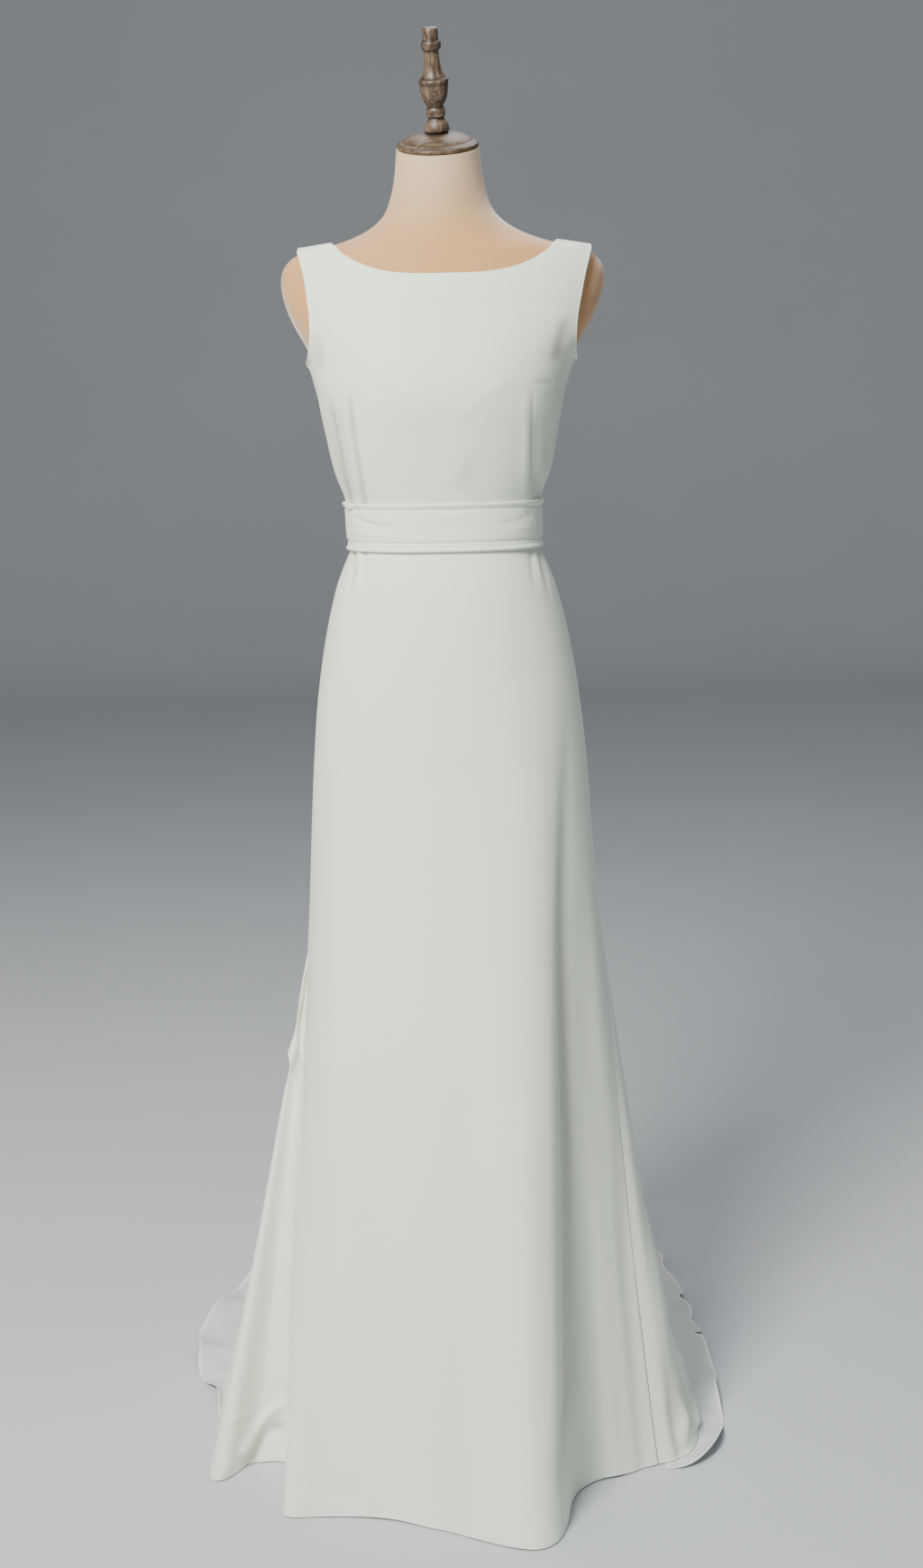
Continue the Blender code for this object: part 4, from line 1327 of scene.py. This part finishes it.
    def path(self, turn: float) -> tuple[list[Vector], list[float]]:
        """The way of one thread from the waist seam down and along the floor.

        Args:
            turn: the angle round the hips from the front middle, in degrees.

        Returns:
            The thread's points, and how far along it the hanging part, the bend and the part
            that lies end.
        """
        steps = self.path_steps
        hem, floor = HEM.at(turn), SKIRT.ring(0.0, turn)
        path = [
            self.hang(turn, hem, floor, self.top * (1 - step / steps)) for step in range(steps + 1)
        ]
        foot, edge = path[-1].copy(), self.edge(turn)
        foot.z = edge.z = self.hem_height
        lying = (edge - foot).length
        bend = min(self.bend, 0.9 * lying)
        path = [point for point in path if (point - foot).length > self.bend]
        ends = [way_along(path)[-1]]
        start, end = path[-1], foot + (edge - foot).normalized() * bend
        for step in range(1, self.bend_steps + 1):
            share = step / self.bend_steps
            path.append(start * (1 - share) ** 2 + foot * 2 * share * (1 - share) + end * share**2)
        ends.append(way_along(path)[-1])
        path.append(edge)
        ends.append(way_along(path)[-1])
        return path, ends

    def thread(self, turn: float) -> list[Vector]:
        """The points of one lengthwise thread, from the hem up.

        Args:
            turn: the angle round the hips from the front middle, in degrees.

        Returns:
            Its points, the same number at every turn.
        """
        path, ends = self.path(turn)
        marks = [self.first_drop] + ends
        hem = HEM.at(turn)
        lying = math.hypot(hem[2] - hem[0], hem[3] - hem[1]) * MM
        trailing = smooth(min(lying / self.lying_start, 1.0))
        wanted = spread(0.0, self.first_drop, self.top_rows)
        for before, after in zip(SKIRT_ROWS, SKIRT_ROWS[1:]):
            for step in range(1, self.rows_between + 1):
                share = step / self.rows_between
                of_way = before[0] + share * (after[0] - before[0])
                of_parts = before[1] + share * (after[1] - before[1])
                by_way = marks[0] + of_way * (ends[-1] - marks[0])
                part = min(int(of_parts), 2)
                by_parts = marks[part] + (marks[part + 1] - marks[part]) * (of_parts - part)
                wanted.append(by_way + trailing * (by_parts - by_way))
        return points_along(path, wanted)[::-1]

    def panel(self, turns: list[float]) -> Points:
        """The threads of a panel, its two edges short of the seams' middle.

        Args:
            turns: the turn of each thread, in degrees.

        Returns:
            The threads' points, from side to side.
        """
        threads = [self.thread(turn) for turn in turns]
        for edge, inner in ((0, 1), (-1, -2)):
            for row, point in enumerate(threads[edge]):
                inwards = (threads[inner][row] - point).normalized()
                threads[edge][row] = point + inwards * (self.seam_gap + 0.2 * self.crepe)
        return threads

    def build(self, crepe: bpy.types.Material) -> None:
        """Makes the front and the two backs.

        Args:
            crepe: the cloth's finish.
        """
        ClothPiece(
            "front_skirt_cloth", "skirt_front", self.panel(spread(-90.0, 90.0, self.threads[0])),
            Cut(0.66, 1.16, "hung", ("form_torso", "waist_belt"), 0.55),
            self.front_creases + self.gathers + self.right_gathers, ripple=0.6 * MM,
        ).build(crepe)
        back = self.hanging_creases + self.train_creases
        ClothPiece(
            "left_back_skirt_cloth", "skirt_back_left",
            self.panel(spread(90.0, 180.0, self.threads[1])),
            Cut(0.62, 1.62, "hung", ("form_torso", "waist_belt", "floor"), 0.493),
            back + self.gathers + self.left_creases, ripple=1.0 * MM,
        ).build(crepe)
        ClothPiece(
            "right_back_skirt_cloth", "skirt_back_right",
            self.panel(spread(-180.0, -90.0, self.threads[2])),
            Cut(0.66, 1.62, "hung", ("form_torso", "waist_belt", "floor"), 0.548),
            mirrored(back) + self.right_gathers + self.right_creases, ripple=1.0 * MM,
            held_by_seam=2.5 * MM,
        ).build(crepe)


@dataclass
class TrainRuffle:
    """The gathered ruffle along the train's edge, in two halves that meet at its middle."""

    thickness: float = 1.0 * MM
    wave: float = 128.0 * MM
    rise: float = 15.0 * MM
    draw: float = 0.12
    gap: float = 0.3 * MM
    step: float = 2.5 * MM
    fold: float = 2.6 * MM
    fold_length: float = 61.0 * MM
    rows: int = 22
    seam_points: int = 400
    full_fold_width: float = 30.0 * MM
    # How wide the left and the right half are, so far along them from their narrow ends
    widths: Readings = Readings((
        (0, 12, 4), (26, 24, 6), (60, 29, 14), (100, 31, 35), (157, 34, 52),
        (230, 40, 59), (300, 43, 54), (350, 44, 44), (400, 44, 33), (460, 44, 30),
        (520, 44, 40), (1500, 44, 46),
    ))
    # Where the outer edge draws in between two lobes: how far along, how deep and how long
    notches: tuple[tuple[Row, ...], ...] = (
        ((347, 0.36, 12), (398, 0.16, 14), (447, 0.26, 13), (560, 0.2, 20), (735, 0.24, 18)),
        ((610, 0.26, 18), (770, 0.18, 20)),
    )

    def waves(self, length: float) -> float:
        """How high the outer edge stands at this length along it, from 0 to 1."""
        wander = 0.9 * math.sin(length / 0.31) + 0.5 * math.sin(length / 0.17 + 1.0)
        return 0.5 - 0.5 * math.cos(2 * math.pi * length / self.wave + wander)

    def folds(self, length: float, share: float) -> float:
        """How high the soft folds stand that run out from the seam, from 0 to 1.

        Args:
            length: how far along the seam, in metres.
            share: how far out from the seam, from 0 to 1.

        Returns:
            The height, as a share of the highest.
        """
        slanted = length + 0.012 * share * math.sin(length / 0.09)
        wander = 1.3 * math.sin(slanted / 0.071) + 0.9 * math.sin(slanted / 0.043 + 2.0)
        ridge = (0.5 + 0.5 * math.sin(2 * math.pi * slanted / self.fold_length + wander)) ** 2
        return ridge * math.sin(math.pi * share**0.6) * (1.0 - 0.4 * share)

    def drawn_in(self, place: float, half: int) -> float:
        """The share of its width that the ruffle loses at a place, in mm from its narrow end.

        Args:
            place: how far from the narrow end, in mm.
            half: 0 for the left half, 1 for the right.

        Returns:
            The share, from 0 to 1.
        """
        deepest = 0.0
        for middle, depth, length in self.notches[half]:
            deepest = max(deepest, depth * math.exp(-(((place - middle) / length) ** 2)))
        return deepest

    def strip(self, skirt: Skirt, turns: list[float]) -> Points:
        """The points of one half.

        Args:
            skirt: the skirt whose train it edges.
            turns: the turns of the skirt that it runs along, from the middle of the train.

        Returns:
            Its columns, from the seam outwards.
        """
        way = [skirt.edge(turn) for turn in turns]
        lengths = spread(0.0, way_along(way)[-1], round(way_along(way)[-1] / self.step))
        seam = points_along(way, lengths)
        side = math.copysign(1.0, turns[0])
        half = 0 if side > 0 else 1
        strip = []
        for i, start in enumerate(seam):
            before, after = seam[max(i - 3, 0)], seam[min(i + 3, len(seam) - 1)]
            tangent = (after - before).normalized()
            outward = Vector((tangent.y, -tangent.x, 0.0)) * -side
            outward = outward.lerp(Vector((0.0, 1.0, 0.0)), max(0.0, 1.0 - i / 6)).normalized()
            place = (lengths[-1] - lengths[i]) / MM
            wave = self.waves(lengths[i])
            width = self.widths.at(place)[half] * MM
            width *= (1 - self.draw * wave) * (1 - self.drawn_in(place, half))
            height = self.fold * min(width / self.full_fold_width, 1.0)
            column = []
            for share in spread(0.0, 1.0, self.rows):
                point = start + outward * (self.gap + share * width)
                point.x += side * self.gap / 2 * max(0.0, 1.0 - i)
                point.z = self.thickness + 0.1 * MM + self.rise * wave * share**1.5
                point.z += height * self.folds(lengths[i], share)
                point.z += height * self.drawn_in(place, half) * 2.0 * share
                column.append(point)
            strip.append(column)
        return strip

    def build(self, skirt: Skirt, crepe: bpy.types.Material) -> None:
        """Makes the two halves.

        Args:
            skirt: the skirt whose train it edges.
            crepe: the cloth's finish.
        """
        for name, turns, cut in (
            ("left", spread(180.0, 91.5, self.seam_points), (1.06, 0.046)),
            ("right", spread(-180.0, -127.7, self.seam_points), (0.90, 0.048)),
        ):
            ClothPiece(
                f"{name}_ruffle_cloth", f"train_ruffle_{name}", self.strip(skirt, turns),
                Cut(*cut, "gathered", ("floor",)), thickness=self.thickness,
                flipped=name == "right", ripple=0.0,
            ).build(crepe)


@dataclass
class DressForm:
    """The limbless body of the form, covered in jersey, its neck cut off at a slope."""

    columns: int = 120
    rows: int = 190
    slope: float = math.radians(18.0)
    bend_start: float = 1462.0 * MM
    neck_y: float = -7.0 * MM
    neck_lean: float = math.radians(1.3)

    def build(self, jersey: bpy.types.Material) -> None:
        """Makes the closed body.

        Args:
            jersey: the cover's finish.
        """
        heights = [row[0] * MM for row in BODY.sections.rows]
        low, high = heights[0], heights[-1]
        shape = bmesh.new()
        bmesh.ops.create_grid(shape, x_segments=self.columns, y_segments=self.rows, size=1.0)
        for vert in shape.verts:
            turn = (vert.co.x + 1) / 2 * FULL_TURN
            height = low + (vert.co.y + 1) / 2 * (high - low)
            point = BODY.ring(height, turn)
            bent = max(0.0, (height - self.bend_start) / (high - self.bend_start))
            point.z += bent * math.tan(self.slope) * (point.y - self.neck_y)
            point.z += bent * math.tan(self.neck_lean) * point.x
            vert.co = point
        bmesh.ops.remove_doubles(shape, verts=shape.verts, dist=0.01 * MM)
        bmesh.ops.holes_fill(shape, edges=shape.edges, sides=0)
        bmesh.ops.recalc_face_normals(shape, faces=shape.faces)
        swayed(shape)
        made = as_object("form_body_jersey", shape, jersey)
        made.data.set_sharp_from_angle(angle=math.radians(50))
        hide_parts("form_torso")
        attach(made, "root")
        log.info("form body: %d faces", len(made.data.polygons))


class TurnedPiece(Enum):
    """The two turned pieces on the neck."""

    CAP = "neck_cap"
    FINIAL = "neck_finial"


@dataclass
class NeckWood:
    """The turned cap and finial, square to the sloping top of the neck."""

    slope: float = math.radians(18.0)
    neck_lean: float = math.radians(1.3)
    finial_lean: float = math.radians(1.8)
    seat: tuple[float, float, float] = (0.0, -7.0 * MM, 1541.0 * MM)
    steps: int = 96
    # Height along the axis, radius, and how dark the stain lies there
    cap: tuple[Row, ...] = (
        (0.3, 0, 0), (0.3, 45.3, 0.6), (1.2, 46.2, 0.35), (2.6, 46.5, 0.0),
        (4.0, 46.4, 0.0), (4.9, 45.8, 0.2), (5.5, 44.5, 0.75), (6.0, 43.5, 0.35),
        (6.9, 41.5, 0.0), (7.7, 40.0, 0.1), (8.1, 39.2, 0.7), (8.6, 38.6, 0.3),
        (9.8, 37.4, 0.0), (11.2, 35.0, 0.1), (11.6, 34.0, 0.6), (12.2, 32.4, 0.2),
        (13.8, 28.0, 0.0), (15.2, 22.0, 0.1), (15.9, 19.2, 0.4), (16.4, 17.4, 0.8),
        (17.0, 15.5, 0.9), (17.1, 0, 0.9),
    )
    finial: tuple[Row, ...] = (
        (17.4, 0, 0.9), (17.4, 13.2, 0.9), (18.2, 14.0, 0.4), (19.6, 14.3, 0.0),
        (22.5, 13.9, 0.0), (25.0, 13.0, 0.0), (27.5, 11.9, 0.0), (29.6, 10.3, 0.15),
        (31.2, 9.2, 0.7), (32.6, 8.8, 0.95), (33.3, 9.6, 0.4), (34.3, 10.4, 0.0),
        (36.4, 10.8, 0.0), (37.4, 10.3, 0.6), (38.2, 10.7, 0.1), (40.8, 10.8, 0.0),
        (42.6, 10.2, 0.4), (43.6, 9.3, 0.9), (44.4, 9.0, 0.95), (45.8, 9.6, 0.4),
        (47.5, 10.6, 0.1), (50.5, 12.4, 0.0), (54.0, 13.9, 0.0), (58.0, 14.9, 0.0),
        (62.0, 15.6, 0.0), (66.0, 16.0, 0.05), (69.0, 16.1, 0.4), (69.8, 16.2, 0.8),
        (70.6, 16.8, 0.1), (72.4, 17.1, 0.0), (74.2, 16.6, 0.1), (75.0, 15.2, 0.7),
        (76.0, 14.2, 0.8), (77.4, 13.2, 0.2), (79.5, 11.9, 0.0), (82.0, 10.6, 0.0),
        (85.0, 9.7, 0.0), (90.0, 8.9, 0.0), (95.0, 8.4, 0.0), (101.0, 8.1, 0.0),
        (104.0, 8.1, 0.5), (104.8, 8.4, 0.95), (105.6, 9.9, 0.2), (107.2, 10.8, 0.0),
        (109.5, 11.2, 0.0), (112.0, 11.1, 0.0), (113.8, 10.8, 0.1), (114.8, 9.4, 0.8),
        (115.8, 8.6, 0.9), (117.0, 8.5, 0.3), (121.0, 8.7, 0.0), (126.2, 8.9, 0.0),
        (127.8, 8.3, 0.1), (128.8, 7.0, 0.1), (129.2, 0, 0.2),
    )

    def turned(
        self, piece: TurnedPiece, profile: tuple[Row, ...], frame: Matrix, wood: bpy.types.Material
    ) -> None:
        """Turns a piece round its axis from its profile, and puts it in its place.

        Args:
            piece: which piece it is.
            profile: rows of height, radius and darkness.
            frame: where the piece's axis stands.
            wood: the finish.
        """
        shape = bmesh.new()
        layer = shape.verts.layers.float.new(GROOVE_LAYER)
        verts = []
        for along, radius, dark in profile:
            vert = shape.verts.new((radius * MM, 0.0, along * MM))
            vert[layer] = dark
            verts.append(vert)
        edges = [shape.edges.new(pair) for pair in zip(verts, verts[1:])]
        bmesh.ops.spin(
            shape, geom=verts + edges, axis=(0, 0, 1), cent=(0, 0, 0), angle=2 * math.pi,
            steps=self.steps, use_merge=True,
        )
        bmesh.ops.remove_doubles(shape, verts=shape.verts, dist=0.01 * MM)
        bmesh.ops.recalc_face_normals(shape, faces=shape.faces)
        shape.transform(frame)
        made = as_object(f"{piece.value}_wood", shape, wood)
        made.data.set_sharp_from_angle(angle=math.radians(60))
        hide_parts(piece.value)
        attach(made, "root")
        log.info("%s: %d faces", piece.value, len(made.data.polygons))

    def build(self, pale: bpy.types.Material, dark: bpy.types.Material) -> None:
        """Makes the cap in the paler wood and the finial in the darker.

        Args:
            pale: the cap's finish.
            dark: the finial's finish.
        """
        leaning = Matrix.Translation(self.seat) @ Matrix.Rotation(self.slope, 4, "X")
        leaning = leaning @ Matrix.Rotation(-self.neck_lean, 4, "Y")
        self.turned(TurnedPiece.CAP, self.cap, leaning, pale)
        foot = Matrix.Translation((0.0, 0.0, self.finial[0][0] * MM))
        aside = foot @ Matrix.Rotation(-self.finial_lean, 4, "Y") @ foot.inverted()
        raised = Matrix.Translation((0.0, 0.0, 0.5 * MM))
        self.turned(TurnedPiece.FINIAL, self.finial, leaning @ raised @ aside, dark)


@dataclass
class Stand:
    """The stand's own CAD nodes, which keep their shape and take the steel finish."""

    nodes: tuple[str, ...] = ("stand_base", "stand_pole")

    def dress(self, carried: dict[str, bpy.types.Object], steel: bpy.types.Material) -> None:
        """Puts the steel on the stand.

        Args:
            carried: the CAD nodes by name.
            steel: the stand's finish.
        """
        for name in self.nodes:
            for slot in carried[name].material_slots:
                slot.material = steel
            log.info("%s: brushed steel", name)


@dataclass
class Studio:
    """The plain floor, the soft light and the camera."""

    floor_width: float = 16.0
    floor_front: float = -6.0
    wall_foot: float = 6.5
    sweep: float = 1.6
    board_rows: int = 32
    wall_height: float = 6.0
    sky: str = "#D5D9DE"
    sky_strength: float = 0.34
    sensor: float = 36.0
    pixels: tuple[int, int] = (1024, 1740)
    focal_pixels: float = 2250.0
    centre_pixel: float = 500.0
    eye: tuple[float, float, float] = (0.0, -2.4, 1.25)
    down: float = 10.5
    roll: float = -1.16
    # Where each light stands, how wide it is, its power in watts and its colour
    lights: tuple[tuple[tuple[float, float, float], float, float, str], ...] = (
        ((-1.2, -2.3, 2.9), 1.2, 200.0, "#FCFFFA"), ((-2.6, 0.3, 1.2), 1.4, 12.0, "#FFE2B0"),
        ((0.3, 0.9, 3.2), 1.8, 34.0, "#F6F8FF"),
    )
    aim: tuple[float, float, float] = (0.0, 0.0, 0.75)

    def build(self, board: bpy.types.Material) -> None:
        """Makes the floor, the lights and the camera.

        Args:
            board: the floor's finish.
        """
        shape = bmesh.new()
        steps = self.board_rows
        bmesh.ops.create_grid(shape, x_segments=2, y_segments=steps, size=1.0)
        for vert in shape.verts:
            row = round((vert.co.y + 1) / 2 * steps)
            vert.co = (vert.co.x * self.floor_width / 2, *self.board_place(row, steps))
        floor = as_object("studio_floor", shape, board)
        self.light()
        self.place_camera()

    def board_place(self, row: int, steps: int) -> tuple[float, float]:
        """How far back and how high a row of the board lies: floor, sweep and wall.

        Args:
            row: the row, from the front.
            steps: how many rows lie between the first and the last.

        Returns:
            Its y and z, in metres.
        """
        if row == 0:
            return self.floor_front, 0.0
        if row == steps:
            return self.wall_foot + self.sweep, self.wall_height
        turn = math.pi / 2 * (row - 1) / (steps - 2)
        rise = self.sweep * (1 - math.cos(turn))
        return self.wall_foot + self.sweep * math.sin(turn), rise

    def light(self) -> None:
        """Sets the sky and the area lights."""
        world = bpy.data.worlds.new("studio sky")
        world.use_nodes = True
        background = world.node_tree.nodes["Background"]
        background.inputs["Color"].default_value = linear(self.sky)
        background.inputs["Strength"].default_value = self.sky_strength
        bpy.context.scene.world = world
        for index, (place, size, power, colour) in enumerate(self.lights):
            lamp = bpy.data.lights.new(f"softbox_{index}", "AREA")
            lamp.shape = "DISK"
            lamp.size = size
            lamp.energy = power
            lamp.color = linear(colour)[:3]
            made = bpy.data.objects.new(lamp.name, lamp)
            towards = Vector(self.aim) - Vector(place)
            turn = towards.to_track_quat("-Z", "Y").to_matrix().to_4x4()
            made.matrix_world = Matrix.Translation(place) @ turn
            bpy.context.scene.collection.objects.link(made)

    def place_camera(self) -> None:
        """Makes the camera at the photograph's place and turns it as it was held."""
        width, height = self.pixels
        data = bpy.data.cameras.new("camera")
        data.sensor_fit = "VERTICAL"
        data.sensor_height = self.sensor
        data.lens = self.focal_pixels / height * self.sensor
        data.shift_x = (width / 2 - self.centre_pixel) / height
        made = bpy.data.objects.new("camera", data)
        pitch = Matrix.Rotation(math.radians(90.0 - self.down), 4, "X")
        roll = Matrix.Rotation(math.radians(self.roll), 4, "Z")
        made.matrix_world = Matrix.Translation(self.eye) @ pitch @ roll
        bpy.context.scene.collection.objects.link(made)
        bpy.context.scene.camera = made


def main() -> None:
    """Loads the frame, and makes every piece."""
    logging.basicConfig(level=logging.INFO, format="%(name)s: %(message)s")
    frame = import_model()
    Studio().build(FloorFinish().material())
    DressForm().build(JerseyFinish().material())
    limed = TurnedWoodFinish("limed turned beech", "#493623", "#796449", drawn_out=(0.3, 1.0, 1.0))
    NeckWood().build(limed.material(), TurnedWoodFinish().material())
    Stand().dress(frame["nodes"], SteelFinish().material())
    crepe = CrepeFinish().material()
    Bodice().build(crepe)
    skirt = Skirt()
    skirt.build(crepe)
    # The ruffle's crepe is painted greyer than the gown's: painted shade, for the shadow it lies in
    # below the panels
    ruffle_crepe_in_painted_shade = CrepeFinish("single crepe in painted shade", "#D0D6D3", "#CBD0CB", hem_mm=2.5, hem_shows=0.6)
    TrainRuffle().build(skirt, ruffle_crepe_in_painted_shade.material())
    WaistBelt().build(crepe)


if __name__ == "__main__":
    main()
